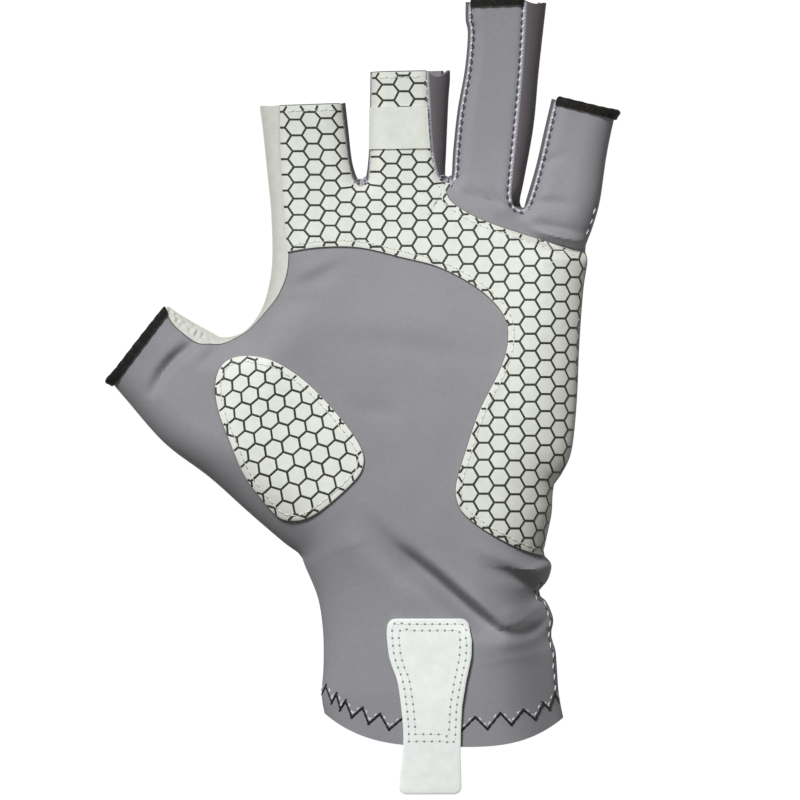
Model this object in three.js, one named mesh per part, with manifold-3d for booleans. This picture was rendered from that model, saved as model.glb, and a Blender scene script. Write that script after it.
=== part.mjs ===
// A fingerless fishing glove for the left hand, lying on its back with the palm up.
// Millimetres. X runs from the thumb to the little finger, Y from the cuff to the fingertips, Z up.
// The glove is an outline seen from above. Its top rises from that outline over a rounded roll to a
// local height, its back lies flat on the surface, and each fabric panel is a wall that follows one
// of the two. Panels meet edge to edge at the seams, and the suede patches lie on the palm.
import * as THREE from "three";
import { mergeVertices } from "three/addons/utils/BufferGeometryUtils.js";
import Module from "manifold-3d";

const FABRIC = 1.0; // thickness of the stretch fabric
const SUEDE = 0.9; // thickness of the suede patches
const BAND = 0.5; // thickness of the plain band on the middle finger
const TAB = 1.2; // thickness of the pull tab
const TRIM = 0.8; // thickness of the elastic trim round a finger hole
const TRIM_LENGTH = 3.4; // how far the trim reaches down the finger
const TRIM_GAP = 0.45; // between the trim and the fabric that it wraps
const HEM_DEPTHS = [2.5, 6, 10, 14]; // the turned-in hem, from near the cuff's edge to its inner end
const GAP = 0.3; // between neighbouring pieces
const EDGE_HEIGHT = 0.45; // height of the outline, as a share of the local height
const BACK_SEAM = 2.2; // how far under the outline a side piece joins the back
const TRIM_LIFT = 1.4; // how far the trim lifts a finger's end off the surface
const LIFT_NEAR = 14; // the lift is whole within this distance of the end's middle
const LIFT_FAR = 26; // and gone beyond this one
const BACK_ROLL = 0.6; // the back's roll, as a share of the top's
const CUFF_BOW = { palm: 9.6, back: 8 }; // how far the cuff's edge bows past its corners
const CUFF_BOW_FADE = 45; // the bow dies away over this distance up the wrist

const GREY = { color: 0x8b8b90, roughness: 0.8, metalness: 0 };
const OFF_WHITE = { color: 0xdfe4de, roughness: 0.9, metalness: 0 };
const BLACK = { color: 0x1a1919, roughness: 0.85, metalness: 0 };

const table = (names, rows) =>
  rows.map((row) => Object.fromEntries(names.map((name, i) => [name, row[i]])));

// The outline's sides, going round it with the glove on the left hand.
// seam: how far inside the outline the palm panel ends, 0 where it reaches the outline.
// roll: the width of the rounded edge. round: 2 for an elliptical edge, less for a straighter slope.
const OUTLINE_COLUMNS = ["x", "y", "seam", "roll", "round"];
const SIDES = {
  ulnar: table(OUTLINE_COLUMNS, [
    [64.5, -103, 0, 34, 2],
    [63, -95.5, 0, 34, 2],
    [62.5, -86, 0, 34, 2],
    [62, -81.5, 0, 32, 2],
    [60, -76.5, 0, 30, 2],
    [61.5, -71.5, 0, 28, 2],
    [59.5, -66, 0, 26, 2],
    [56.5, -63, 0, 25, 2],
    [59.5, -59, 0, 24, 2],
    [61, -54, 0, 24, 2],
    [58, -50.5, 0, 23, 2],
    [58.2, -47.5, 0, 22, 2],
    [60.5, -38, 0, 21, 2],
    [61, -32.5, 0, 20, 2],
    [60, -28, 0, 20, 2],
    [62.5, -25, 0, 20, 2],
    [67, -17.5, 0, 20, 2],
    [69, -1.5, 0, 20, 2],
    [70, 16.5, 0, 19, 2],
    [71.5, 34, 0, 17, 2],
    [72.5, 43, 0, 14, 2],
    [71, 47.5, 0, 12, 2],
    [73.5, 54, 0, 11, 2],
    [75.5, 62.5, 0, 10, 2],
    [77.5, 75.5, 0, 9, 2],
    [79.5, 83.5, 0, 9, 2],
    [81.6, 90.8, 0, 9, 2],
  ]),
  littleToRing: table(OUTLINE_COLUMNS, [
    [60.7, 94.3, 1.2, 7, 2],
    [59, 86.5, 1.2, 7, 2],
    [55.5, 74, 1.3, 7, 2],
    [53.5, 63.5, 1.3, 7, 2],
    [52, 60.8, 1.3, 6, 2],
    [51.2, 62.5, 2, 6, 1.8],
    [53, 69, 4.2, 6, 1.5],
    [55.5, 86.5, 6, 7, 1.5],
    [57.5, 104.5, 6.5, 7.5, 1.5],
    [58.9, 124.1, 7, 8, 1.5],
  ]),
  ringToMiddle: table(OUTLINE_COLUMNS, [
    [33.5, 126.3, 1.7, 6, 2],
    [33.5, 120.5, 1.6, 6, 2],
    [32.5, 104.5, 1.5, 6, 2],
    [30.5, 91.5, 1.4, 6, 2],
    [29.5, 78.5, 1.3, 6, 2],
    [29, 70.5, 1.3, 6, 2],
    [28, 68.6, 1.3, 6, 2],
    [27, 70.5, 2, 6, 1.8],
    [27, 78.5, 4.6, 6, 1.5],
    [28, 94.5, 6.4, 7, 1.5],
    [29, 104, 7.6, 8.5, 1.5],
  ]),
  middleToIndex: table(OUTLINE_COLUMNS, [
    [3, 103.5, 1.1, 6, 2],
    [3, 91.5, 1.1, 6, 2],
    [2.5, 78.5, 1.1, 6, 2],
    [2, 70, 1.2, 6, 2],
    [0.5, 68, 1.3, 6, 2],
    [-1, 70, 1.2, 6, 2],
    [-2, 75.5, 1.3, 7, 2],
    [-3, 85, 1.6, 8, 2],
    [-4, 94, 2, 8, 2],
  ]),
  indexToThumb: table(OUTLINE_COLUMNS, [
    [-32.5, 93, 6.6, 10, 1.7],
    [-31.5, 85, 5.8, 10, 1.7],
    [-30, 70.5, 4.8, 11, 1.8],
    [-28.5, 58, 4.6, 12, 1.8],
    [-28.5, 43, 5.4, 14, 2],
    [-30, 34, 4, 15, 2],
    [-31.5, 27, 1.2, 15, 2],
    [-35, 21, 0.6, 15, 2],
    [-39, 18.2, 0.6, 14, 2],
    [-44.5, 18, 1.4, 13, 2],
    [-51.5, 22, 5.4, 13, 1.8],
    [-58, 26, 4.6, 13, 1.8],
    [-61.5, 28.8, 3.4, 13, 1.8],
  ]),
  radial: table(OUTLINE_COLUMNS, [
    [-80.6, 4.2, 0, 13, 2],
    [-75.5, -0.5, 0, 13, 2],
    [-62.5, -14.5, 0, 14, 2],
    [-48.5, -26, 0, 16, 2],
    [-35.5, -36.5, 0, 19, 2],
    [-24.5, -46.5, 0, 22, 2],
    [-19, -50, 0, 24, 2],
    [-16.5, -54, 0, 26, 2],
    [-13.5, -64.5, 0, 30, 2],
    [-12, -75, 0, 33, 2],
    [-12, -86, 0, 34, 2],
    [-13, -95.5, 0, 34, 2],
    [-11.5, -101.5, 0, 34, 2],
  ]),
};

// Height of the glove over the surface, along Y.
const HEIGHTS = table(["y", "height"], [
  [-114, 26],
  [-90, 25],
  [-60, 24],
  [-20, 24],
  [20, 23],
  [45, 19.5],
  [60, 16],
  [75, 13.5],
  [95, 12.8],
  [128, 12.6],
]);
// The thumb's own height. It takes over along the thumb, from its inner side out, and not on the index finger.
const THUMB = { x: -30, y: -8, alongX: -0.8, alongY: 0.6, reach: 52, height: 15 };
const THUMB_FADE = { inner: -26, outer: -38, top: 45, under: 30 };

// Folds and creases of the palm panel: a curve from one point to another, pulled to a third.
const FOLDS = table(["x0", "y0", "pullX", "pullY", "x1", "y1", "width", "rise"], [
  [3, -36, 24, -57, 47, -75, 4.4, -3.6],
  [40, -73, 54, -79, 61, -72, 4, -3],
  [20, -42, 42, -58, 56, -67, 5.5, 2.4],
  [38, -51.5, 48, -57, 58, -61, 4, -3.4],
  [34, -46, 48, -51, 60, -55, 3.4, 1.6],
  [-4, -40, 8, -54, 22, -63, 4.5, 1],
  [-26, 34, -15, 37, -5, 43, 2.4, -1.6],
  [-22, 38, -13, 42, -4, 46, 2.2, 0.8],
  [-32, 24, -24, 31, -12, 31, 3, -1],
  [-18, 18, 15, 17, 46, 10.5, 3.6, -1.2],
  [-8, -3, 4, -5, 16, -6, 3, -1],
  [-53, 16, -60, 10, -66, 1, 2.4, -1.8],
  [-47, 14, -51, 11, -54, 6, 2.2, -0.8],
  [-22, -39, -21, -45, -17, -54, 3.4, -1.6],
  [34, 57.5, 55, 50, 73, 47, 2.4, -2.2],
  [30, 63, 54, 55, 74, 53, 3.2, 1.3],
]);

// The plain bare band across the middle finger, and the finger's share of the grip patch.
const BAND_SPAN = { low: 78.5, high: 92.5 };

// Edges of the grip patch that lie on the palm, from the ulnar side round to the index finger.
const GRIP_LOWER_EDGE = table(["x", "y"], [
  [57.5, -51.2],
  [50, -48.5],
  [41.5, -44],
  [35, -39.5],
  [31.5, -35.5],
  [30.3, -29],
  [33.5, -17.5],
  [38, -4.5],
  [44.5, 8.5],
  [47, 18],
  [45.5, 26],
  [38, 34],
  [25.5, 41],
  [12.5, 44.5],
  [-0.5, 47.5],
  [-13, 47.6],
  [-24, 46],
]);
const GRIP_UPPER_EDGE = table(["x", "y"], [
  [26.5, 67.2],
  [29, 62],
  [38, 56.5],
  [51, 52],
  [63.5, 48],
  [72, 45.6],
]);
const THENAR_EDGE = table(["x", "y"], [
  [-35.5, 12.5],
  [-41.5, 11.6],
  [-45.2, 8.5],
  [-46.5, 3],
  [-45.5, -4.5],
  [-42, -14],
  [-37, -25],
  [-31.5, -32.5],
  [-26.5, -38],
  [-22.5, -39.5],
  [-17.5, -39],
  [-11.5, -35.5],
  [-3.5, -28.5],
  [0.3, -23.5],
  [0.5, -18],
  [-3.5, -11],
  [-11.5, -1.5],
  [-19.5, 6],
  [-28.5, 11.4],
]);
const PAST_PANEL = 6; // how far a patch's cutter runs past the panel where they end together

// The pull tab, from its upper end on the palm to its free end below the cuff.
const TAB_ROWS = table(["y", "left", "right"], [
  [-71, 11, 32],
  [-72.5, 9, 34],
  [-78, 8.6, 35.4],
  [-83, 9.2, 35.3],
  [-91, 11.8, 33.6],
  [-99, 13, 32.3],
  [-107, 13.7, 31.9],
  [-114, 13.6, 31.8],
  [-121, 12.8, 32],
  [-125, 12.5, 32],
  [-127, 13.7, 30.6],
]);
const TAB_FLAT_FROM = -109; // past this line the tab runs on straight, over the cuff's edge
const TAB_COLUMNS = 5;
const TAB_GAP = 0.5;

// How finely each panel is divided: rows along the glove, and columns across the hand's width.
const TRUNK_STEPS = table(["y", "step"], [
  [-103, 6.4],
  [-84, 4.2],
  [-46, 4.2],
  [-30, 6.6],
  [59, 6.6],
]);
const ROWS = { index: 4, middle: 5, ring: 8, little: 5, thumb: 6 };
const PALM_COLUMNS = { index: 4, middle: 4, ring: 4, little: 5 };
const BACK_COLUMNS = { index: 3, middle: 3, ring: 3, little: 3 };
const SAMPLES_PER_SPAN = 6;
const FOLD_SAMPLES = 8;

// Height at which a row across the glove meets its ulnar edge, and the one where it starts.
const ROW_TILT = table(["right", "left"], [
  [-103, -101.5],
  [-47.5, -46.5],
  [16.5, 23],
  [59, 66.5],
]);
const [, ARMPIT_ROW, CROTCH_ROW, KNUCKLE_ROW] = ROW_TILT;
const CORNER_RISE = 0.15; // panels that meet at the outline each stop this far from its height

const mix = (a, b, t) => a + (b - a) * t;
const clamp = (v, low, high) => Math.min(Math.max(v, low), high);
const smooth = (t) => t * t * (3 - 2 * t);
const risen = (from, to, value) => smooth(clamp((value - from) / (to - from), 0, 1)); // 0 to 1, softly
const between = (a, b, t) => ({ x: mix(a.x, b.x, t), y: mix(a.y, b.y, t) });

// The value of one column of a table at a value of another, in straight steps.
function lookUp(rows, from, to, value) {
  const last = rows.length - 1;
  const i = clamp(rows.findIndex((row) => row[from] > value) - 1, 0, last - 1);
  const past = value >= rows[last][from] ? last - 1 : i;
  const [a, b] = [rows[past], rows[past + 1]];
  return mix(a[to], b[to], clamp((value - a[from]) / (b[from] - a[from]), 0, 1));
}

// A smooth curve through a table's points; the other columns change in straight steps.
function sampled(rows) {
  const at = (i) => rows[clamp(i, 0, rows.length - 1)];
  const points = [];
  for (let i = 0; i < rows.length - 1; i++)
    for (let k = 0; k < SAMPLES_PER_SPAN; k++)
      points.push(splinePoint(at(i - 1), at(i), at(i + 1), at(i + 2), k / SAMPLES_PER_SPAN));
  points.push({ ...at(rows.length - 1) });
  return withInwardNormals(points);
}

function splinePoint(before, a, b, after, t) {
  const point = {};
  for (const name of Object.keys(a)) {
    if (name !== "x" && name !== "y") {
      point[name] = mix(a[name], b[name], t);
      continue;
    }
    const leave = (b[name] - before[name]) / 2;
    const arrive = (after[name] - a[name]) / 2;
    const rest = 3 * (b[name] - a[name]) - 2 * leave - arrive;
    const cubic = 2 * (a[name] - b[name]) + leave + arrive;
    point[name] = a[name] + t * (leave + t * (rest + t * cubic));
  }
  return point;
}

function withInwardNormals(points) {
  points.forEach((point, i) => {
    const a = points[Math.max(i - 1, 0)];
    const b = points[Math.min(i + 1, points.length - 1)];
    const length = Math.hypot(b.x - a.x, b.y - a.y);
    point.inX = -(b.y - a.y) / length;
    point.inY = (b.x - a.x) / length;
  });
  return points;
}

const outline = Object.fromEntries(
  Object.entries(SIDES).map(([name, rows]) => [name, sampled(rows)]),
);

// The outline's nearest point: its distance, the direction out to it, and its columns.
function nearest(x, y) {
  let best = { distance: Infinity };
  for (const points of Object.values(outline))
    for (let i = 0; i < points.length - 1; i++) {
      const [a, b] = [points[i], points[i + 1]];
      const [dx, dy] = [b.x - a.x, b.y - a.y];
      const t = clamp(((x - a.x) * dx + (y - a.y) * dy) / (dx * dx + dy * dy), 0, 1);
      const [toX, toY] = [a.x + t * dx - x, a.y + t * dy - y];
      const distance = Math.hypot(toX, toY);
      if (distance < best.distance) best = { distance, toX, toY, a, b, t };
    }
  const { a, b, t, distance, toX, toY } = best;
  const near = distance < 1e-3;
  return {
    distance,
    outX: near ? -mix(a.inX, b.inX, t) : toX / distance,
    outY: near ? -mix(a.inY, b.inY, t) : toY / distance,
    roll: mix(a.roll, b.roll, t),
    round: mix(a.round, b.round, t),
  };
}

function localHeight(x, y) {
  const { inner, outer, top, under } = THUMB_FADE;
  const along = (x - THUMB.x) * THUMB.alongX + (y - THUMB.y) * THUMB.alongY;
  const share = risen(0, THUMB.reach, along) * risen(inner, outer, x) * risen(top, under, y);
  return mix(lookUp(HEIGHTS, "y", "height", y), THUMB.height, share);
}

const foldCurves = FOLDS.map((fold) => {
  const curve = new THREE.QuadraticBezierCurve(
    new THREE.Vector2(fold.x0, fold.y0),
    new THREE.Vector2(fold.pullX, fold.pullY),
    new THREE.Vector2(fold.x1, fold.y1),
  );
  return { ...fold, points: curve.getPoints(FOLD_SAMPLES) };
});

// How far the folds raise or sink the palm at a point: each is a soft ridge that dies away at its ends.
function foldRise(x, y) {
  let rise = 0;
  for (const { points, width, rise: top } of foldCurves) {
    let best = { distance: Infinity, along: 0 };
    for (let i = 0; i < points.length - 1; i++) {
      const [a, b] = [points[i], points[i + 1]];
      const [dx, dy] = [b.x - a.x, b.y - a.y];
      const t = clamp(((x - a.x) * dx + (y - a.y) * dy) / (dx * dx + dy * dy), 0, 1);
      const distance = Math.hypot(a.x + t * dx - x, a.y + t * dy - y);
      if (distance < best.distance) best = { distance, along: (i + t) / FOLD_SAMPLES };
    }
    const ends = 1 - (2 * best.along - 1) ** 4;
    rise += top * ends * Math.exp(-((best.distance / width) ** 2));
  }
  return rise;
}

// The rounded edge's height, from 0 on the outline to 1 at the end of the roll, and its normal.
function edgeProfile(distance, roll, rise, round) {
  const left = clamp(1 - distance / roll, 0, 1);
  const up = (1 - left ** round) ** (1 / round);
  const out = left ** (round - 1) / roll;
  const over = up ** (round - 1) / rise;
  const length = Math.hypot(out, over);
  return { up, out: out / length, over: over / length };
}

// The middles of the finger holes that carry a trim.
const endsOf = (name) => [outline[name][0], outline[name].at(-1)];
const TRIMMED = [
  [endsOf("ringToMiddle")[0], endsOf("littleToRing")[1]],
  [endsOf("littleToRing")[0], endsOf("ulnar")[1]],
  [endsOf("radial")[0], endsOf("indexToThumb")[1]],
].map(([a, b]) => between(a, b, 0.5));

// How far the trim lifts the back at a point near one of the trimmed finger holes.
function trimLift(x, y) {
  const far = Math.min(...TRIMMED.map((end) => Math.hypot(x - end.x, y - end.y)));
  return TRIM_LIFT * (1 - smooth(clamp((far - LIFT_NEAR) / (LIFT_FAR - LIFT_NEAR), 0, 1)));
}

const edgeHeight = (x, y) => EDGE_HEIGHT * localHeight(x, y);

// A point of the glove's top over a plan point, with the way its surface faces.
function topPoint(x, y) {
  const { distance, outX, outY, roll, round } = nearest(x, y);
  const low = edgeHeight(x, y);
  const rise = localHeight(x, y) - low;
  const { up, out, over } = edgeProfile(distance, roll, rise, round);
  const z = low + rise * up + foldRise(x, y) * up;
  return {
    point: new THREE.Vector3(x, y, Math.max(z, low + CORNER_RISE)),
    normal: new THREE.Vector3(outX * out, outY * out, over),
  };
}

// The same for the back, which lies flat on the surface inside its own smaller roll.
function backPoint(x, y) {
  const { distance, outX, outY, roll } = nearest(x, y);
  const lift = trimLift(x, y);
  const drop = edgeHeight(x, y) - lift;
  const { up, out, over } = edgeProfile(distance, roll * BACK_ROLL, drop, 2);
  return {
    point: new THREE.Vector3(x, y, Math.min(lift + drop * (1 - up), lift + drop - CORNER_RISE)),
    normal: new THREE.Vector3(outX * out, outY * out, -over),
  };
}

// A mesh of shared corners: surface points with normals, and four-cornered faces.
class Quilt {
  constructor(surface) {
    this.surface = surface;
    this.corners = [];
    this.faces = [];
    this.grids = {};
    this.known = new Map();
  }

  corner({ x, y }) {
    const key = `${x.toFixed(3)} ${y.toFixed(3)}`;
    if (!this.known.has(key)) {
      this.known.set(key, this.corners.length);
      this.corners.push(this.surface(x, y));
    }
    return this.known.get(key);
  }

  // Rows of plan points, each row from left to right and the rows from the trunk outwards.
  add(name, rows) {
    this.addIds(
      name,
      rows.map((row) => row.map((point) => this.corner(point))),
    );
  }

  addIds(name, ids) {
    this.grids[name] = ids;
    for (let j = 0; j < ids.length - 1; j++)
      for (let i = 0; i < ids[j].length - 1; i++)
        this.faces.push([ids[j][i], ids[j][i + 1], ids[j + 1][i + 1], ids[j + 1][i]]);
  }

  // The closed solid between two offsets along the normals.
  solid(inner, outer) {
    const count = this.corners.length;
    const positions = [];
    for (const offset of [outer, inner])
      for (const { point, normal } of this.corners)
        positions.push(...point.clone().addScaledVector(normal, offset).toArray());
    const triangles = [];
    const edges = new Map();
    for (const face of this.faces) {
      const [a, b, c, d] = face;
      triangles.push(a, b, c, a, c, d);
      triangles.push(a + count, c + count, b + count, a + count, d + count, c + count);
      face.forEach((from, i) => edges.set(`${from} ${face[(i + 1) % 4]}`, [from, face[(i + 1) % 4]]));
    }
    for (const [a, b] of edges.values())
      if (!edges.has(`${b} ${a}`)) triangles.push(b, a, a + count, b, a + count, b + count);
    return closed(positions, triangles);
  }
}

function closed(positions, triangles) {
  const geometry = new THREE.BufferGeometry();
  geometry.setAttribute("position", new THREE.Float32BufferAttribute(positions, 3));
  geometry.setIndex(triangles);
  geometry.computeVertexNormals();
  return geometry;
}

// Turns a sheet inside out, for one whose rows run the other way.
function flipped(geometry) {
  const index = geometry.index.array;
  for (let i = 0; i < index.length; i += 3) [index[i + 1], index[i + 2]] = [index[i + 2], index[i + 1]];
  return geometry;
}

// Where a side of the outline crosses a height.
function crossing(points, y) {
  for (let i = 0; i < points.length - 1; i++) {
    const [a, b] = [points[i], points[i + 1]];
    if ((a.y - y) * (b.y - y) <= 0 && a.y !== b.y) return mixPoint(a, b, (y - a.y) / (b.y - a.y));
  }
  return Math.abs(points[0].y - y) < Math.abs(points.at(-1).y - y) ? points[0] : points.at(-1);
}

const mixPoint = (a, b, t) =>
  Object.fromEntries(Object.keys(a).map((name) => [name, mix(a[name], b[name], t)]));

// Stations from the first point of a side to its last, closer together at the first.
function spread(points, count, crowding) {
  const steps = points.slice(1).map((p, i) => Math.hypot(p.x - points[i].x, p.y - points[i].y));
  const whole = steps.reduce((sum, step) => sum + step, 0);
  return Array.from({ length: count + 1 }, (_, k) => {
    const share = k / count;
    let left = whole * share * mix(1, share, crowding);
    let i = 0;
    while (i < steps.length - 1 && left > steps[i]) left -= steps[i++];
    return mixPoint(points[i], points[i + 1], clamp(left / steps[i], 0, 1));
  });
}

// The heights of the trunk's rows on the ulnar side. They stop at its dents on the way.
function trunkHeights() {
  const fixed = ROW_TILT.map(({ right }) => right);
  const dents = SIDES.ulnar.map(({ y }) => y);
  const stops = [...fixed];
  const stepAt = (y) => lookUp(TRUNK_STEPS, "y", "step", y);
  for (const y of dents)
    if (y < KNUCKLE_ROW.right && stops.every((stop) => Math.abs(stop - y) > 0.6 * stepAt(y)))
      stops.push(y);
  stops.sort((a, b) => a - b);
  const heights = [stops[0]];
  for (let i = 0; i < stops.length - 1; i++) {
    const step = stepAt((stops[i] + stops[i + 1]) / 2);
    const count = Math.max(1, Math.round((stops[i + 1] - stops[i]) / step));
    for (let k = 1; k <= count; k++) heights.push(mix(stops[i], stops[i + 1], k / count));
  }
  return heights;
}

// The two sides of the space between two fingers, each from its crotch up to a fingertip.
function sidesOfSpace(points) {
  const crotch = points.reduce((best, p, i) => (p.y < points[best].y ? i : best), 0);
  return { right: points.slice(0, crotch + 1).reverse(), left: points.slice(crotch) };
}

const startingAt = (start, points) => [start, ...points.slice(points.findIndex((p) => p.y > start.y))];

// Stations where the rows of every panel and side piece meet the outline.
function findStations() {
  const heights = trunkHeights();
  const starts = heights.map((y) => lookUp(ROW_TILT, "right", "left", y));
  const upRadial = [...outline.radial].reverse();
  const crotch = outline.indexToThumb.findIndex((p) => p.y < CROTCH_ROW.left);
  const upIndex = outline.indexToThumb.slice(0, crotch + 1).reverse();
  const crotchStation = crossing(upIndex, CROTCH_ROW.left);
  const spaces = [outline.middleToIndex, outline.ringToMiddle, outline.littleToRing].map(sidesOfSpace);
  const armpit = crossing(upRadial, ARMPIT_ROW.left);
  const finger = (name, left, right, crowding) => ({
    left: spread(left, ROWS[name], crowding),
    right: spread(right, ROWS[name], crowding),
  });
  return {
    heights,
    wrist: starts.filter((y) => y <= ARMPIT_ROW.left).map((y) => crossing(upRadial, y)),
    hand: starts.filter((y) => y >= CROTCH_ROW.left).map((y) => crossing(upIndex, y)),
    ulnar: heights.map((y) => crossing(outline.ulnar, y)),
    index: finger("index", startingAt(crossing(upIndex, KNUCKLE_ROW.left), upIndex), spaces[0].left, 0.6),
    middle: finger("middle", spaces[0].right, spaces[1].left, 0.6),
    ring: finger("ring", spaces[1].right, spaces[2].left, 0.4),
    little: finger(
      "little",
      spaces[2].right,
      startingAt(crossing(outline.ulnar, KNUCKLE_ROW.right), outline.ulnar),
      0.6,
    ),
    thumb: finger(
      "thumb",
      startingAt(armpit, upRadial),
      [crotchStation, ...outline.indexToThumb.slice(crotch)],
      0.1,
    ),
  };
}

const stations = findStations();
const tipFirst = (side) => [...side].reverse();
const BORDERS = {
  indexMiddle: [...tipFirst(stations.middle.left), ...stations.index.right.slice(1)],
  middleRing: [...tipFirst(stations.ring.left), ...stations.middle.right.slice(1)],
  ringLittle: [...tipFirst(stations.little.left), ...stations.ring.right.slice(1)],
  indexThumb: [
    ...tipFirst(stations.index.left),
    ...tipFirst(stations.hand).slice(1),
    ...stations.thumb.right.slice(1),
  ],
};

// Shares across a strip, a little closer together near its two edges.
const shares = (count) =>
  Array.from({ length: count + 1 }, (_, i) => {
    const even = i / count;
    return mix(even, (1 - Math.cos(Math.PI * even)) / 2, 0.5);
  });

// The plan of one panel, as rows of points for its trunk, its four fingers and its thumb.
// seamOf tells how far inside the outline the panel ends at a station.
function panelPlan(seamOf, columns, bow) {
  const place = (p) => {
    const seam = seamOf(p);
    const move = seam > 0 ? seam + GAP / 2 : 0;
    return { x: p.x + p.inX * move, y: p.y + p.inY * move };
  };
  const fingers = Object.keys(columns);
  const corners = [
    place(stations.index.left[0]),
    ...fingers.map((name) => place(stations[name].right[0])),
  ];
  const topRow = fingers.flatMap((name, k) => {
    const row = shares(columns[name]).map((t) => between(corners[k], corners[k + 1], t));
    return k < fingers.length - 1 ? row.slice(0, -1) : row;
  });
  const trunk = trunkPlan(place, topRow, bow);
  const grids = { trunk };
  let first = 0;
  for (const name of fingers) {
    const count = columns[name];
    const base = topRow.slice(first, first + count + 1);
    grids[name] = fingerPlan(place, stations[name], base);
    first += count;
  }
  const base = trunk.slice(
    stations.wrist.length - 1,
    trunk.length - stations.hand.length + 1,
  );
  grids.thumb = fingerPlan(
    place,
    stations.thumb,
    base.map((row) => row[0]),
  );
  return grids;
}

function fingerPlan(place, { left, right }, base) {
  const whole = Math.hypot(base.at(-1).x - base[0].x, base.at(-1).y - base[0].y);
  const across = base.map((p) => Math.hypot(p.x - base[0].x, p.y - base[0].y) / whole);
  return left.map((start, j) =>
    j === 0 ? base : across.map((t) => between(place(start), place(right[j]), t)),
  );
}

function trunkPlan(place, topRow, bow) {
  const { heights, wrist, hand, ulnar } = stations;
  const whole = Math.hypot(topRow.at(-1).x - topRow[0].x, topRow.at(-1).y - topRow[0].y);
  const topShares = topRow.map((p) => Math.hypot(p.x - topRow[0].x, p.y - topRow[0].y) / whole);
  const lowShares = shares(topRow.length - 1);
  const firstOfHand = heights.length - hand.length;
  const [armpit, crotch] = [place(wrist.at(-1)), place(hand[0])];
  const startOf = (j) => {
    if (j < wrist.length) return place(wrist[j]);
    if (j >= firstOfHand) return place(hand[j - firstOfHand]);
    return between(armpit, crotch, (j - wrist.length + 1) / (firstOfHand - wrist.length + 1));
  };
  return heights.map((height, j) => {
    if (j === heights.length - 1) return topRow;
    const [start, end] = [startOf(j), place(ulnar[j])];
    const rise = (height - heights[0]) / (heights.at(-1) - heights[0]);
    const fade = bow * (1 - smooth(clamp((height - heights[0]) / CUFF_BOW_FADE, 0, 1)));
    return topRow.map((_, i) => {
      const t = mix(lowShares[i], topShares[i], smooth(rise));
      const point = between(start, end, t);
      return { x: point.x, y: point.y - fade * 4 * t * (1 - t) };
    });
  });
}

function panel(surface, seamOf, columns, bow) {
  const quilt = new Quilt(surface);
  for (const [name, rows] of Object.entries(panelPlan(seamOf, columns, bow))) quilt.add(name, rows);
  return quilt;
}

// A side piece between palm and back: it follows one border, and its section goes from the
// palm's seam over the rounded edge and under it to the back's seam.
function sidePiece(border, topSteps, backSteps) {
  const quilt = new Quilt();
  const back = BACK_SEAM - GAP / 2;
  const columns = border.map((station) => {
    const front = station.seam - GAP / 2;
    const section = [];
    for (let k = 0; k < topSteps; k++)
      section.push(sidePoint(station, front * (1 - k / topSteps) ** 2, true));
    for (let k = 0; k <= backSteps; k++)
      section.push(sidePoint(station, back * (k / backSteps) ** 2, false));
    return section.map((corner) => quilt.corners.push(corner) - 1);
  });
  quilt.addIds("border", columns);
  return quilt;
}

// A point of a side piece, measured in from one station, so that the outline's tight turns stay tidy.
function sidePoint(station, distance, isTop) {
  const { x, y, inX, inY, roll, round } = station;
  const [px, py] = [x + inX * distance, y + inY * distance];
  const low = edgeHeight(px, py);
  const rise = isTop ? localHeight(px, py) - low : low - trimLift(px, py);
  const profile = edgeProfile(distance, isTop ? roll : roll * BACK_ROLL, rise, isTop ? round : 2);
  const away = isTop ? (rise + foldRise(px, py)) * profile.up : -rise * profile.up;
  const over = isTop ? profile.over : -profile.over;
  return {
    point: new THREE.Vector3(px, py, low + away),
    normal: new THREE.Vector3(-inX * profile.out, -inY * profile.out, over),
  };
}

// Lines of corners that run from an open end into the glove, one for each column of a grid.
const linesFrom = (quilt, name, tipIsLast) => {
  const rows = quilt.grids[name].map((ids) => ids.map((id) => quilt.corners[id]));
  const ordered = tipIsLast ? rows.reverse() : rows;
  return ordered[0].map((_, i) => ordered.map((row) => row[i]));
};

// A place on one of those lines at a depth from the open end, or straight on past it.
function atDepth(line, depth) {
  let left = depth;
  let i = 0;
  const length = (k) => line[k].point.distanceTo(line[k + 1].point);
  while (i < line.length - 2 && left > length(i)) left -= length(i++);
  const t = left / length(i);
  return {
    point: line[i].point.clone().lerp(line[i + 1].point, t),
    normal: line[i].normal.clone().lerp(line[i + 1].normal, Math.max(t, 0)).normalize(),
  };
}

// A section carried along lines that run in from an open end. It is a list of
// [depth, offset out from the fabric's face]. A ring closes on itself, and a strip
// closes at its two ends with caps, which are four-cornered faces of the section.
function carried(lines, section, caps = []) {
  const corners = [];
  const isStrip = caps.length > 0;
  const rings = section.map(([depth, offset]) =>
    lines.map((line) => {
      const { point, normal } = atDepth(line, depth);
      return corners.push(point.addScaledVector(normal, offset)) - 1;
    }),
  );
  const triangles = [];
  rings.forEach((ring, r) => {
    const next = rings[(r + 1) % rings.length];
    ring.slice(0, isStrip ? -1 : undefined).forEach((id, i) => {
      const k = (i + 1) % ring.length;
      triangles.push(id, next[k], next[i], id, ring[k], next[k]);
    });
  });
  for (const [a, b, c, d] of caps) {
    const [first, last] = [0, lines.length - 1];
    const at = (r, i) => rings[r][i];
    triangles.push(at(a, first), at(b, first), at(c, first), at(a, first), at(c, first), at(d, first));
    triangles.push(at(a, last), at(c, last), at(b, last), at(a, last), at(d, last), at(c, last));
  }
  return closed(corners.flatMap((corner) => corner.toArray()), triangles);
}

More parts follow.
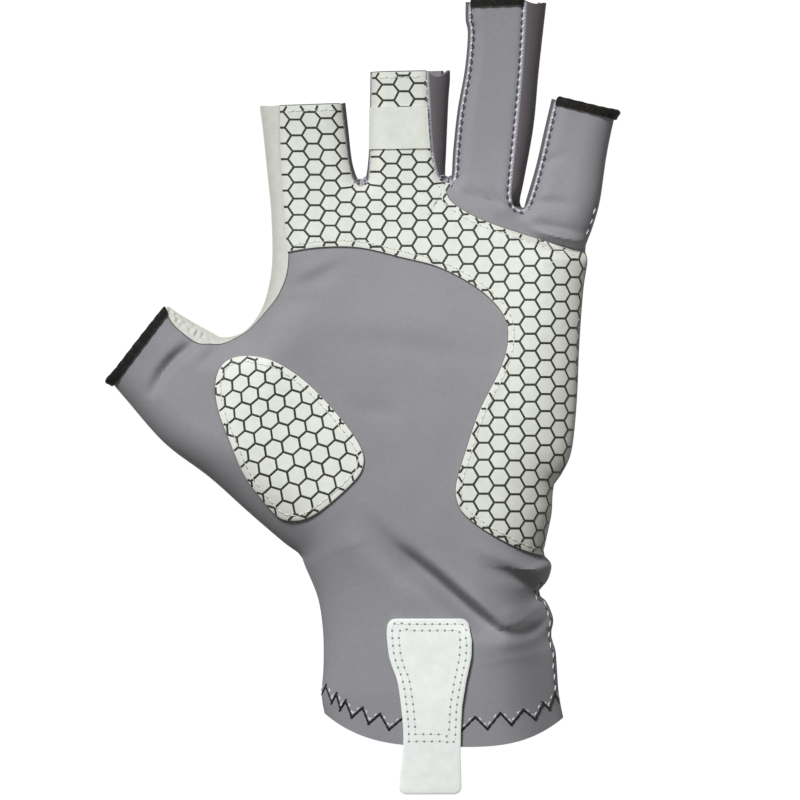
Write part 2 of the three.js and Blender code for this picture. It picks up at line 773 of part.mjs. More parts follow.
// The elastic trim is folded over the raw edge: a leg outside, a leg inside and the fold between.
const TRIM_SECTION = [
  [TRIM_LENGTH, TRIM_GAP],
  [TRIM_LENGTH, TRIM_GAP + TRIM],
  [-TRIM_GAP - TRIM, TRIM_GAP + TRIM],
  [-TRIM_GAP - TRIM, -FABRIC - TRIM_GAP - TRIM],
  [TRIM_LENGTH, -FABRIC - TRIM_GAP - TRIM],
  [TRIM_LENGTH, -FABRIC - TRIM_GAP],
  [-TRIM_GAP, -FABRIC - TRIM_GAP],
  [-TRIM_GAP, TRIM_GAP],
];
const TRIM_CAPS = [
  [0, 1, 2, 7],
  [7, 2, 3, 6],
  [6, 3, 4, 5],
];
const trim = (lines) => carried(lines, TRIM_SECTION, TRIM_CAPS);

// The hem is the cuff's own fabric turned in, a second layer inside the wrist.
function hem(lines) {
  const outer = -FABRIC - TRIM_GAP;
  const deepestFirst = [...HEM_DEPTHS].reverse();
  return carried(lines, [
    ...deepestFirst.map((depth) => [depth, outer - FABRIC]),
    ...HEM_DEPTHS.map((depth) => [depth, outer]),
  ]);
}

function pullTab() {
  const quilt = new Quilt();
  const rows = TAB_ROWS.map(({ y, left, right }) =>
    Array.from({ length: TAB_COLUMNS + 1 }, (_, i) => {
      const x = mix(left, right, i / TAB_COLUMNS);
      const { point, normal } = topPoint(x, Math.max(y, TAB_FLAT_FROM));
      quilt.corners.push({ point: point.setY(y), normal });
      return quilt.corners.length - 1;
    }),
  );
  quilt.addIds("tab", rows);
  return flipped(quilt.solid(TAB_GAP, TAB_GAP + TAB));
}

const wasm = await Module();
wasm.setup();

function solidOf(geometry) {
  const bare = geometry.clone();
  bare.deleteAttribute("normal");
  bare.deleteAttribute("uv");
  const merged = mergeVertices(bare, 1e-4);
  return new wasm.Manifold(
    new wasm.Mesh({
      numProp: 3,
      vertProperties: new Float32Array(merged.attributes.position.array),
      triVerts: new Uint32Array(merged.index.array),
    }),
  );
}

function geometryOf(solid) {
  const mesh = solid.getMesh();
  return closed(Array.from(mesh.vertProperties), Array.from(mesh.triVerts));
}

// A tall block with a plan outline, which cuts a patch out of the layer over the palm panel.
function cutter(points) {
  const shape = new THREE.Shape(points.map(({ x, y }) => new THREE.Vector2(x, y)));
  return solidOf(new THREE.ExtrudeGeometry(shape, { depth: 60, bevelEnabled: false }));
}

const curveThrough = (rows, divisions) =>
  new THREE.SplineCurve(rows.map(({ x, y }) => new THREE.Vector2(x, y))).getPoints(divisions);

function gripOutline() {
  const lower = curveThrough(GRIP_LOWER_EDGE, GRIP_LOWER_EDGE.length - 1);
  const upper = curveThrough(GRIP_UPPER_EDGE, GRIP_UPPER_EDGE.length - 1);
  const ulnarEnd = { x: lower[0].x + PAST_PANEL * 3, y: lower[0].y - PAST_PANEL / 2 };
  const ulnarStart = { x: upper.at(-1).x + PAST_PANEL, y: upper.at(-1).y - PAST_PANEL / 4 };
  const fingers = [
    { x: lower.at(-1).x - PAST_PANEL, y: lower.at(-1).y },
    { x: -25 - PAST_PANEL * 2, y: 110 },
    { x: 28, y: 110 },
  ];
  return [ulnarEnd, ...lower, ...fingers, ...upper, ulnarStart].reverse();
}

const thenarOutline = () => curveThrough([...THENAR_EDGE, THENAR_EDGE[0]], 24).slice(0, -1);

const bandOutline = [
  { x: -1, y: BAND_SPAN.low },
  { x: 27.5, y: BAND_SPAN.low },
  { x: 27.5, y: BAND_SPAN.high },
  { x: -1, y: BAND_SPAN.high },
];

const palm = panel(topPoint, (p) => p.seam, PALM_COLUMNS, CUFF_BOW.palm);
const back = panel(backPoint, (p) => (p.seam > 0 ? BACK_SEAM : 0), BACK_COLUMNS, CUFF_BOW.back);
const walls = {
  indexMiddle: sidePiece(BORDERS.indexMiddle, 2, 3),
  middleRing: sidePiece(BORDERS.middleRing, 3, 3),
  ringLittle: sidePiece(BORDERS.ringLittle, 3, 3),
  indexThumb: sidePiece(BORDERS.indexThumb, 3, 3),
};

// The lines that run in from the open ends, going round them as the palm's columns do.
const palmEnd = (name) => linesFrom(palm, name, true);
const backEnd = (name) => linesFrom(back, name, true).reverse();
const roundCuff = [
  ...linesFrom(palm, "trunk", false),
  ...linesFrom(back, "trunk", false).reverse(),
];

const patchLayer = solidOf(palm.solid(GAP, GAP + SUEDE));
const bandLayer = solidOf(palm.solid(2 * GAP + SUEDE, 2 * GAP + SUEDE + BAND));
const cutFrom = (layer, points) => geometryOf(layer.intersect(cutter(points)));

const PIECES = [
  ["palm_panel", GREY, () => palm.solid(-FABRIC, 0)],
  ["back_panel", GREY, () => flipped(back.solid(-FABRIC, 0))],
  ["side_wall_index_middle", GREY, () => walls.indexMiddle.solid(-FABRIC, 0)],
  ["side_wall_middle_ring", GREY, () => walls.middleRing.solid(-FABRIC, 0)],
  ["side_wall_ring_little", GREY, () => walls.ringLittle.solid(-FABRIC, 0)],
  ["index_thumb_strip", OFF_WHITE, () => walls.indexThumb.solid(-FABRIC, 0)],
  ["grip_patch", OFF_WHITE, () => cutFrom(patchLayer, gripOutline())],
  ["thenar_patch", OFF_WHITE, () => cutFrom(patchLayer, thenarOutline())],
  ["middle_finger_band", OFF_WHITE, () => cutFrom(bandLayer, bandOutline)],
  ["ring_finger_trim", BLACK, () => trim(palmEnd("ring"))],
  ["ring_finger_back_trim", BLACK, () => trim(backEnd("ring"))],
  ["little_finger_trim", BLACK, () => trim([...palmEnd("little"), ...backEnd("little")])],
  ["thumb_trim", BLACK, () => trim([...backEnd("thumb"), ...palmEnd("thumb")])],
  ["cuff_hem", GREY, () => hem(roundCuff)],
  ["pull_tab", OFF_WHITE, pullTab],
];

const glove = new THREE.Group();
glove.name = "fishing_glove";
for (const [name, finish, make] of PIECES) {
  const mesh = new THREE.Mesh(make(), new THREE.MeshStandardMaterial(finish));
  mesh.name = name;
  glove.add(mesh);
}

// The origin lies under the middle of the whole glove, on the surface that it rests on.
const middle = new THREE.Box3().setFromObject(glove).getCenter(new THREE.Vector3());
for (const mesh of glove.children) mesh.geometry.translate(-middle.x, -middle.y, 0);

export default glove;
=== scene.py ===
"""The looks of a fingerless fishing glove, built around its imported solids.

Lengths in this file are millimetres on the glove's own plan: X from the thumb to the little finger,
Y from the cuff to the fingertips, Z up from the surface. They become metres in the part's frame
only when a mesh is made. The glove is an outline with a height over it. Every cloth piece follows
that one shape, so that neighbours meet at their seams.
"""

import logging
import math
from collections.abc import Callable, Iterable, Sequence
from dataclasses import dataclass, field
from enum import Enum

import bpy
import numpy as np
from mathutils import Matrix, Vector


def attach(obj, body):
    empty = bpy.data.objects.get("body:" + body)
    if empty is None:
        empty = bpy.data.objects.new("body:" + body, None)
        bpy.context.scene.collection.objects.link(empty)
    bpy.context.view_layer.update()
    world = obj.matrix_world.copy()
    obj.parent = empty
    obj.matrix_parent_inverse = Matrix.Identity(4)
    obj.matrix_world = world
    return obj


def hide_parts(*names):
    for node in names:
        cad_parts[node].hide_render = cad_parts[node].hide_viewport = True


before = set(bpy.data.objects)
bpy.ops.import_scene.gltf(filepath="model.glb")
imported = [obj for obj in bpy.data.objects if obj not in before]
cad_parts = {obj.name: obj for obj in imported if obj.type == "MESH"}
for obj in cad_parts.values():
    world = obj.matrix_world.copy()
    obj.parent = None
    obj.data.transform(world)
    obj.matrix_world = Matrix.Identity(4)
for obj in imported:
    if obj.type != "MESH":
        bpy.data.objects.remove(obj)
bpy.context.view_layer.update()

log = logging.getLogger("fishing_glove")

# Columns of a sampled outline: the table's own, and then the way in from it, in x and in y.
X, Y, SEAM, ROLL, ROUND, IN_X = range(6)
MILLIMETRE = 0.001
# How the plan lies in the photograph: millimetres to a pixel, and the pixel at the plan's origin.
PIXEL = 0.32
ORIGIN_PIXEL = (361, 396)
# Step from the plan's origin to the frame's, under which the solids are centred.
PLAN_TO_FRAME = (-0.42, -0.31, 0.0)
# Samples from one row of a table to the next.
OUTLINE_SAMPLES = 6
FOLD_SAMPLES = 5
# Shortest length that a vector is divided by, and how many points are measured at once.
TINY = 1e-9
BATCH = 1500

Array = np.ndarray
Pair = tuple[Array, Array]
Span = tuple[float, float]
Triple = tuple[float, float, float]
Face = Callable[[Array], Pair]  # gives points in space and the ways that they look, over plan points
Shape = tuple[Array, list[Array]]  # points, and arrays of faces with their own numbers of corners
Node, Socket = bpy.types.Node, bpy.types.NodeSocket


class Side(Enum):
    """The outline's sides, going round the glove."""

    ULNAR = "little finger's side"
    LITTLE_RING = "between little and ring finger"
    RING_MIDDLE = "between ring and middle finger"
    MIDDLE_INDEX = "between middle and index finger"
    INDEX_THUMB = "between index finger and thumb"
    RADIAL = "thumb's side"


class Digit(Enum):
    """The fingers, from the thumb's side across."""

    INDEX = 0
    MIDDLE = 1
    RING = 2
    LITTLE = 3


# The outline. seam: how far inside it the palm panel ends, 0 where it reaches the outline.
# roll: width of the rounded edge. round: 2 for an elliptical edge, less for a straighter slope.
# Columns: x, y, seam, roll, round.
OUTLINE = {
    Side.ULNAR: [
        (64.8, -103, 0, 26, 2), (63.4, -95.5, 0, 26, 2), (62.7, -86, 0, 26, 2), (62.3, -81.5, 0, 25, 2),
        (60.9, -76.5, 0, 24, 2), (61.6, -71.5, 0, 24, 2), (59.5, -66, 0, 23, 2), (56.8, -63, 0, 22, 2),
        (59.8, -59, 0, 22, 2), (61, -54, 0, 21, 2), (58.5, -50.6, 0, 20, 2), (59, -47.5, 0, 20, 2),
        (61, -38, 0, 20, 2), (61.3, -32.5, 0, 20, 2), (61.9, -28.1, 0, 20, 2), (64.1, -25.1, 0, 20, 2),
        (67.4, -17.5, 0, 20, 2), (69.1, -1.5, 0, 20, 2), (69.9, 16.5, 0, 19, 2), (71.2, 34, 0, 17, 2),
        (72.5, 43, 0, 14, 2), (71.8, 47.4, 0, 12, 2), (74.1, 53.8, 0, 11, 2), (76.5, 62.3, 0, 10, 2),
        (78.4, 75.3, 0, 9, 2), (79.9, 83.4, 0, 9, 2), (81.5, 90.3, 0, 9, 2),
    ],
    Side.LITTLE_RING: [
        (61.1, 95.3, 2, 7, 2), (59, 86.5, 2, 7, 2), (56.1, 73.9, 2, 7, 2), (53.1, 63.6, 2, 7, 2),
        (52, 60.3, 1.6, 6, 2), (50.9, 62.5, 3.7, 6, 2), (52.2, 69.1, 4.8, 6.5, 2),
        (55.3, 86.5, 6.1, 7.5, 1.9), (57, 104.5, 6.2, 7.8, 1.9), (59.4, 126, 7.4, 8.5, 1.8),
    ],
    Side.RING_MIDDLE: [
        (33.5, 126.3, 2, 6, 2), (33.5, 120.5, 1.9, 6, 2), (34.2, 115.8, 1.8, 6, 2),
        (33.2, 104.4, 1.8, 6, 2), (30.9, 91.5, 1.8, 6, 2), (29.5, 78.5, 1.8, 6, 2), (29, 70.7, 1.8, 6, 2),
        (28, 69.3, 1.8, 6, 2), (27, 70.7, 3.1, 6, 2), (27.3, 78.5, 5.3, 6.5, 2), (28, 94.5, 7, 8, 2),
        (28.5, 101, 7.8, 8.8, 2), (28.5, 104.4, 7.9, 9, 2),
    ],
    Side.MIDDLE_INDEX: [
        (3, 103.9, 1.2, 6, 2), (2.8, 91.5, 1.2, 6, 2), (2.5, 78.5, 1.3, 6, 2), (1.6, 70.4, 1.8, 6, 2),
        (0.4, 69, 2.6, 6, 2), (-1.2, 69.9, 2.2, 6, 2), (-2.9, 75.4, 1.8, 7, 2), (-4, 84.9, 1.9, 8, 2),
        (-5, 94, 2.1, 8, 2),
    ],
    Side.INDEX_THUMB: [
        (-32.4, 93, 6.6, 10, 1.7), (-32.3, 91, 6.5, 10, 1.7), (-31.5, 85, 5.8, 10, 1.7),
        (-30, 70.5, 4.8, 11, 1.8), (-28.8, 58, 4.7, 12, 1.8), (-28.5, 43, 5.4, 14, 2),
        (-29.8, 34, 4, 15, 2), (-32.1, 27.2, 1.5, 15, 2), (-36, 21.9, 0.7, 15, 2),
        (-39.5, 19.6, 0.7, 14, 2), (-44.4, 18.8, 2.2, 13, 2), (-47.7, 20.4, 4.4, 13, 1.9),
        (-51.3, 22.3, 5.3, 13, 1.8), (-57.9, 26.2, 4, 13, 1.8), (-61.8, 28.9, 1.5, 13, 1.8),
    ],
    Side.RADIAL: [
        (-80.3, 4.8, 0, 10, 2), (-75.6, -0.7, 0, 10, 2), (-62.9, -15.1, 0, 11, 2), (-48.5, -26, 0, 13, 2),
        (-36.1, -37.1, 0, 16, 2), (-24.8, -46.8, 0, 19.5, 2), (-19.6, -50.7, 0, 22, 2),
        (-17.8, -54.7, 0, 25, 2), (-13.8, -64.6, 0, 30, 2), (-12.2, -75, 0, 33, 2), (-12, -86, 0, 34, 2),
        (-12.6, -95.5, 0, 34, 2), (-11.7, -101.5, 0, 34, 2),
    ],
}

# Height of the glove over the surface. Columns: y, height.
HEIGHTS = np.array([
    (-114, 26), (-90, 25), (-60, 24), (-20, 24), (20, 23), (45, 19.5), (60, 16), (75, 13.5), (95, 12.8),
    (128, 12.6),
])

# Folds of the palm, each as rows along it.
# Columns: x, y, rise (a valley's is negative), width on the left and on the right of its way.
FOLDS = {
    "main fold across the wrist": [
        (-4, -34.5, 0, 3, 5), (8, -46, -1.4, 2.8, 5), (15.5, -52, -3.8, 2.5, 5),
        (22.5, -57.5, -5.8, 2.4, 4.5), (29.5, -63.5, -6.8, 2.3, 4.5), (35.9, -69, -6.8, 2.3, 4.5),
        (40.4, -72.7, -5.4, 2.1, 4.2), (43.8, -74.9, -3.3, 1.9, 3), (47.2, -76, -1.6, 1.7, 2),
        (51, -76.3, -0.9, 1.5, 1.7), (54.5, -75.4, -0.8, 1.5, 1.6), (57.5, -73.6, -0.9, 1.5, 1.6),
        (60.5, -70.6, -0.8, 1.5, 1.6),
    ],
    "ridge under the main fold's hooked end": [
        (44, -78.2, 0, 1.5, 2.2), (50, -78.9, 0.3, 1.5, 2.2), (55.5, -77.6, 0.5, 1.5, 2),
        (60.5, -73.6, 0.6, 1.5, 2),
    ],
    "ridge over the main fold": [
        (19, -50.5, 0, 3, 7), (29, -59, 1.1, 2.8, 7), (37, -66, 1.8, 2.8, 7), (43.5, -70.5, 1.3, 2.6, 7),
        (48.5, -70, 0.6, 2.6, 7), (54, -67, 0, 2.6, 7),
    ],
    "upper fold at the wrist's outer side": [
        (37.5, -52.4, 0, 2.2, 3.4), (43, -55, -0.9, 2.2, 3), (48, -57.2, -2.2, 2.3, 2.4),
        (52.6, -59.2, -3.4, 2.2, 2), (56.5, -61.9, -3.8, 2, 2), (59.5, -64.4, -2.8, 1.9, 2),
    ],
    "ridge over the upper fold": [
        (33, -47, 0, 2.6, 2.6), (42, -50.5, 0.5, 2.6, 2.6), (50, -53.4, 0.9, 2.6, 2.4),
        (57, -56.8, 1, 2.6, 2.2), (61, -59, 0.8, 2.6, 2),
    ],
    "drop towards the wrist's outer edge": [
        (62.5, -52, 0, 7, 7), (62, -58, -0.8, 7.5, 7.5), (61, -62.5, -3.4, 8, 8),
        (60.2, -67, -7.6, 8.4, 8.4), (60.8, -72, -10, 8.6, 9), (62.4, -78, -10.5, 8, 10.5),
        (64, -86, -10, 8, 11), (65.5, -95, -9, 8, 11), (66.5, -105, -8, 8, 11),
    ],
    "swell along the wrist": [(-8, -42, 0, 4.5, 4.5), (4, -54, 0.5, 4.5, 4.5), (24, -70, 0, 4.5, 4.5)],
    "dent under the index finger": [
        (-26, 34, 0, 2.4, 3), (-19, 35.7, -0.6, 2.4, 3), (-12, 38.5, -0.6, 2.4, 3), (-5, 43, 0, 2.4, 3),
    ],
    "ridge over that dent": [(-22, 38, 0, 2.2, 2.2), (-13, 42, 0.4, 2.2, 2.2), (-4, 46, 0, 2.2, 2.2)],
    "dent under that dent": [(-32, 24, 0, 3, 3), (-23, 29.4, -0.7, 3, 3), (-12, 31, 0, 3, 3)],
    "long dent of the palm": [(-18, 18, 0, 4, 4), (15, 16, -0.5, 4, 4), (46, 10.5, 0, 4, 4)],
    "short dent of the palm": [(-8, -3, 0, 3, 3), (4, -4.8, -0.4, 3, 3), (16, -6, 0, 3, 3)],
    "fold across the thumb": [
        (-51.5, 18, 0, 1.7, 2.2), (-55.4, 15.2, -2.2, 1.7, 2.2), (-60.2, 11.3, -2.8, 1.6, 2.2),
        (-64.2, 6, -2.2, 1.5, 2.2), (-67.3, -1.5, 0, 1.4, 2.2),
    ],
    "ridge past the thumb's fold": [(-57, 17, 0, 2, 2), (-63, 11, 0.6, 2, 2), (-69, 2, 0, 2, 2)],
    "dent before the thumb's fold": [
        (-41.5, 15.5, 0, 1.8, 2), (-47, 13.6, -1.1, 1.8, 2), (-53, 9, 0, 1.8, 2),
    ],
    "dent where the thumb's root meets the wrist": [
        (-22, -39, 0, 3.4, 3.4), (-20.5, -46, -0.9, 3.4, 3.4), (-17, -54, 0, 3.4, 3.4),
    ],
    "fold under the little finger": [
        (42, 57, 0, 2.2, 1.8), (52, 52.3, -2.8, 2.3, 1.7), (62, 47.9, -4.6, 2.2, 1.4),
        (74, 44.7, -4.4, 2.2, 1.4),
    ],
    "ridge over the little finger's fold": [
        (46, 58, 0, 1.6, 1.5), (54, 54.5, 0.6, 1.5, 1.4), (61.5, 51.4, 1.7, 1.6, 1.6),
        (68, 49.7, 1.8, 1.6, 1.6), (75, 48.3, 1.2, 1.5, 1.4),
    ],
    "second fold under the little finger": [
        (42, 60, 0, 2.6, 2), (51, 55.8, -1.5, 2.6, 1.7), (58, 53.8, -2, 2.3, 1.5),
        (66, 52.5, -1.4, 2.3, 1.5), (75, 51.2, -0.6, 2.2, 1.5),
    ],
    "fold under the ring finger": [
        (28, 66.2, 0, 1.6, 1.8), (36, 64, -1.1, 1.6, 1.8), (43, 62.4, -1.2, 1.6, 1.8),
        (47.5, 61.6, 0, 1.6, 1.8),
    ],
    "little finger's upper dent": [
        (55, 75, 0, 1.3, 1.5), (57, 74.8, -1.3, 1.3, 1.5), (60, 75.4, -1, 1.3, 1.5), (66, 78, 0, 1.3, 1.5),
    ],
    "little finger's lower dent": [
        (54, 61.8, 0, 1.4, 1.6), (58, 62, -1.1, 1.4, 1.6), (63, 61.7, -0.8, 1.4, 1.6),
        (70, 60.5, 0, 1.4, 1.6),
    ],
    "tuck between the ring and the little finger": [
        (48, 62, 0, 1.6, 1.2), (49.3, 61.8, -7, 2.2, 1.2), (51.5, 61.4, -9, 2.4, 1.2),
        (54, 61.4, 0, 2, 1.2),
    ],
}

# Edges of the suede patches on the palm. Columns: x, y.
GRIP_LOWER_EDGE = np.array([
    (57.8, -51.3), (57.3, -51.2), (50, -48.5), (41.5, -44), (35, -39.5), (31.5, -35.5), (30.3, -29),
    (33.5, -17.5), (38, -4.5), (44.5, 8.5), (47, 18), (45.5, 26), (38, 34), (25.5, 41), (12.5, 44.5),
    (-0.5, 47.5), (-13, 47.6), (-23.2, 46.1),
])
GRIP_UPPER_EDGE = np.array([
    (71.2, 45.6), (63.5, 48), (51, 52), (38, 56.5), (29, 62), (26.5, 67.2),
])
THENAR_EDGE = np.array([
    (-35.5, 12.5), (-41.5, 11.6), (-45.2, 8.5), (-46.5, 3), (-45.5, -4.5), (-42, -14), (-37, -25),
    (-31.5, -32.5), (-26.5, -38), (-22.5, -39.5), (-17.5, -39), (-11.5, -35.5), (-3.5, -28.5),
    (0.3, -23.5), (0.5, -18), (-3.5, -11), (-11.5, -1.5), (-19.5, 6), (-28.5, 11.4),
])
# Places that face each other across the grip patch. Columns: lower edge's x, y, outer edge's x, y.
GRIP_LINKS = np.array([
    (57.8, -51.3, 57.8, -50.9), (41.5, -44, 59, -41), (30.3, -29, 60.3, -30), (38, -4.5, 67.8, -4),
    (47, 18, 69.5, 26), (45.5, 26, 71.2, 45.6), (38, 34, 58, 50), (25.5, 41, 38, 56.5),
    (12.5, 44.5, 28, 67.1), (-0.5, 47.5, 8, 66.7), (-13, 47.6, -10, 66.5), (-23.2, 46.1, -24.9, 66.5),
])
# Rows and columns of the grip patch's cells, measured in the photograph.
# Columns: number of a column of cells, pixels down to its first row.
GRIP_FIRSTS = np.array([
    (0, 230.4), (2, 225.9), (4, 222.2), (6, 221), (8, 220.5), (10, 221.3), (12, 222.5), (14, 223),
    (16, 224.7), (18, 226.2),
])
# Columns: number of a row of cells, pixels down to it from the first row.
GRIP_FALLS = np.array([(-9, -137.6), (-4, -58.5), (0, 0), (20, 338.5)])
# Columns: number of a column of cells, pixels by which it lies lower on the fingers.
GRIP_FINGER_SHIFTS = np.array([
    (0, -4.8), (1, -2.2), (2, -1.6), (3, 1.4), (4, 0.8), (5, 1.8), (6, 1.2), (7, 0.3),
])
# The thenar patch's cells. Columns: at the first cell, a step along the first way, a step along the
# second, the second way's bend, the two ways' shear.
THENAR_X = (-35.45, 5.289, 3.026, 0.066, 0.047)
THENAR_Y = (0.22, 1.309, -3.823, -0.033, -0.004)

# The pull tab's outline. Columns: y, left x, right x.
TAB_SIDES = np.array([
    (-71, 8.9, 34.2), (-75, 8.5, 34.8), (-78, 8.6, 35.4), (-83, 9.2, 35.3), (-87, 10.4, 34.5),
    (-91, 11.8, 33.6), (-99, 13, 32.3), (-107, 13.7, 31.9), (-114, 13.6, 31.8), (-121, 12.8, 32),
    (-125, 12.4, 32.1), (-127, 12.3, 32),
])

# Heights at which a row across the glove meets its two sides. Columns: ulnar side, thumb's side.
ROW_TILT = np.array([(-103, -101.5), (-47.5, -46.5), (16.5, 23), (59, 66.5)])

# The ribs' sections, and those of the dark bead round the patches' edges, whose colour is painted shade.
# Columns: step aside, step up.
RIB_SECTION = np.array([(0.36, -0.2), (0.34, 0.05), (0.2, 0.12), (-0.2, 0.12), (-0.34, 0.05), (-0.36, -0.2)])
EDGE_SHADE_SECTION = np.array([(0.24, 0.02), (0.24, 0.4), (0.1, 0.5), (-0.1, 0.5), (-0.24, 0.4), (-0.24, 0.02)])
# Thickness of a thread from end to end, as shares of its own.
THREAD_TAPER = np.array([0.45, 0.92, 1.0, 0.92, 0.45])


def soft_step(start: float, end: float, value: Array) -> Array:
    """Rises softly from 0 to 1: three times the square less twice the cube of the share."""
    share = np.clip((value - start) / (end - start), 0.0, 1.0)
    return share * share * (3.0 - 2.0 * share)


def smooth_curve(rows: Array, per_span: int) -> Array:
    """A curve through a table's points: cubic in x, y and the seam, straight in the other columns.

    Args:
        rows: the table, with x and y as its first columns.
        per_span: samples from one point to the next.

    Returns:
        The sampled table.
    """
    rows = np.asarray(rows, float)
    padded = np.vstack([rows[:1], rows, rows[-1:]])
    before, a, b, after = (padded[k : len(padded) - 3 + k][:, None] for k in range(4))
    t = (np.arange(per_span) / per_span)[None, :, None]
    leave = (b - before) / 2
    arrive = (after - a) / 2
    rest = 3 * (b - a) - 2 * leave - arrive
    cubic = a + t * (leave + t * (rest + t * (2 * (a - b) + leave + arrive)))
    straight = a + t * (b - a)
    curve = np.where(np.arange(rows.shape[1]) <= SEAM, cubic, straight)
    return np.vstack([curve.reshape(-1, rows.shape[1]), rows[-1:]])


def run_length(curve: Array) -> Array:
    """Distance along a curve from its start to each of its points."""
    steps = np.hypot(*np.diff(curve[:, :2], axis=0).T)
    return np.concatenate([[0.0], np.cumsum(steps)])


def resampled(curve: Array, shares: Array) -> Array:
    """Points of a curve at shares of its whole length, from 0 at its start to 1 at its end."""
    run = run_length(curve)
    return np.stack([np.interp(shares * run[-1], run, column) for column in curve.T], axis=-1)


def spaced(curve: Array, spacing: float) -> Array:
    """Points of a curve from its start to its end, about so far from each other."""
    return resampled(curve, np.linspace(0.0, 1.0, round(run_length(curve)[-1] / spacing)))


def ruled(a: Array, b: Array, shares: Array) -> Array:
    """A grid of straight rows between two lines, with points at shares across."""
    return a[:, None] + shares[..., None] * (b - a)[:, None]


def at_height(curve: Array, heights: Array) -> Array:
    """Where a side that only climbs, or only falls, crosses given heights on the plan."""
    rising = curve if curve[0, Y] < curve[-1, Y] else curve[::-1]
    return np.stack([np.interp(heights, rising[:, Y], column) for column in rising.T], axis=-1)


def crowded(count: int, crowding: float) -> Array:
    """Shares from 0 to 1 that crowd at both ends, by mixing even steps with a cosine's."""
    even = np.linspace(0.0, 1.0, count + 1)
    return even + crowding * ((1 - np.cos(np.pi * even)) / 2 - even)


def unit(vectors: Array) -> Array:
    """The vectors at length 1."""
    return vectors / np.maximum(np.linalg.norm(vectors, axis=-1, keepdims=True), TINY)


def left_of(way: Array) -> Array:
    """Plan directions turned a quarter to the left."""
    return np.column_stack([-way[:, 1], way[:, 0]])


def foot_on_lines(plan: Array, starts: Array, steps: Array) -> tuple[Array, ...]:
    """The nearest of many straight pieces to each point, by dropping a line onto every piece.

    Args:
        plan: points, as rows of x and y.
        starts: where each straight piece starts.
        steps: from each start to its end.

    Returns:
        The nearest piece's number, the share along it, and the vector from its foot to the point.
    """
    numbers, shares, aways = [], [], []
    squares = np.maximum((steps**2).sum(-1), TINY**2)
    for part in np.array_split(plan, max(1, len(plan) // BATCH)):
        reach = part[:, None, :] - starts[None]
        share = np.clip((reach * steps).sum(-1) / squares, 0.0, 1.0)
        away = reach - share[..., None] * steps
        best = (away**2).sum(-1).argmin(1)
        row = np.arange(len(part))
        numbers.append(best)
        shares.append(share[row, best])
        aways.append(away[row, best])
    return np.concatenate(numbers), np.concatenate(shares), np.concatenate(aways)


def from_pixels(places: Sequence[Span]) -> Array:
    """Plan points of places in the photograph, whose rows run downwards."""
    return (np.array(places, float) * (1, -1) + (-ORIGIN_PIXEL[0], ORIGIN_PIXEL[1])) * PIXEL


def numbered(grid: Array) -> Array:
    """A number for each point of a grid."""
    return np.arange(grid[..., 0].size).reshape(grid.shape[:-1])


def grid_faces(number: Array) -> Array:
    """Four-cornered faces between the neighbours in a grid of point numbers."""
    corners = (number[:-1, :-1], number[:-1, 1:], number[1:, 1:], number[1:, :-1])
    return np.stack([corner.ravel() for corner in corners], axis=-1)


@dataclass(frozen=True)
class EdgeReach:
    """How a plan point stands to the outline: its distance in, the way out, and the outline's columns."""

    distance: Array
    out: Array
    seam: Array
    roll: Array
    round: Array


@dataclass(frozen=True)
class Unevenness:
    """Soft unevenness of worn cloth: a sum of slow waves that run in all directions."""

    count: int = 9
    turn: float = 2.4  # between waves, in radians
    shortest: float = 11.0  # the first wave's length
    longer: float = 3.1  # added from wave to wave
    lag: float = 1.7  # from wave to wave, in radians
    strength: float = 0.6  # the first wave's
    stronger: float = 0.05  # added from wave to wave
    rise: float = 0.35

    def over(self, plan: Array) -> Array:
        """Rise over plan points: each wave is a sine along its own direction, and they are averaged."""
        turns = np.arange(self.count)
        angle = turns * self.turn
        length = self.shortest + self.longer * turns
        phase = (plan[:, :1] * np.cos(angle) + plan[:, 1:] * np.sin(angle)) * (2 * np.pi / length)
        strength = self.strength + self.stronger * turns
        return self.rise * ((np.sin(phase + turns * self.lag) * strength).sum(-1) / self.count)


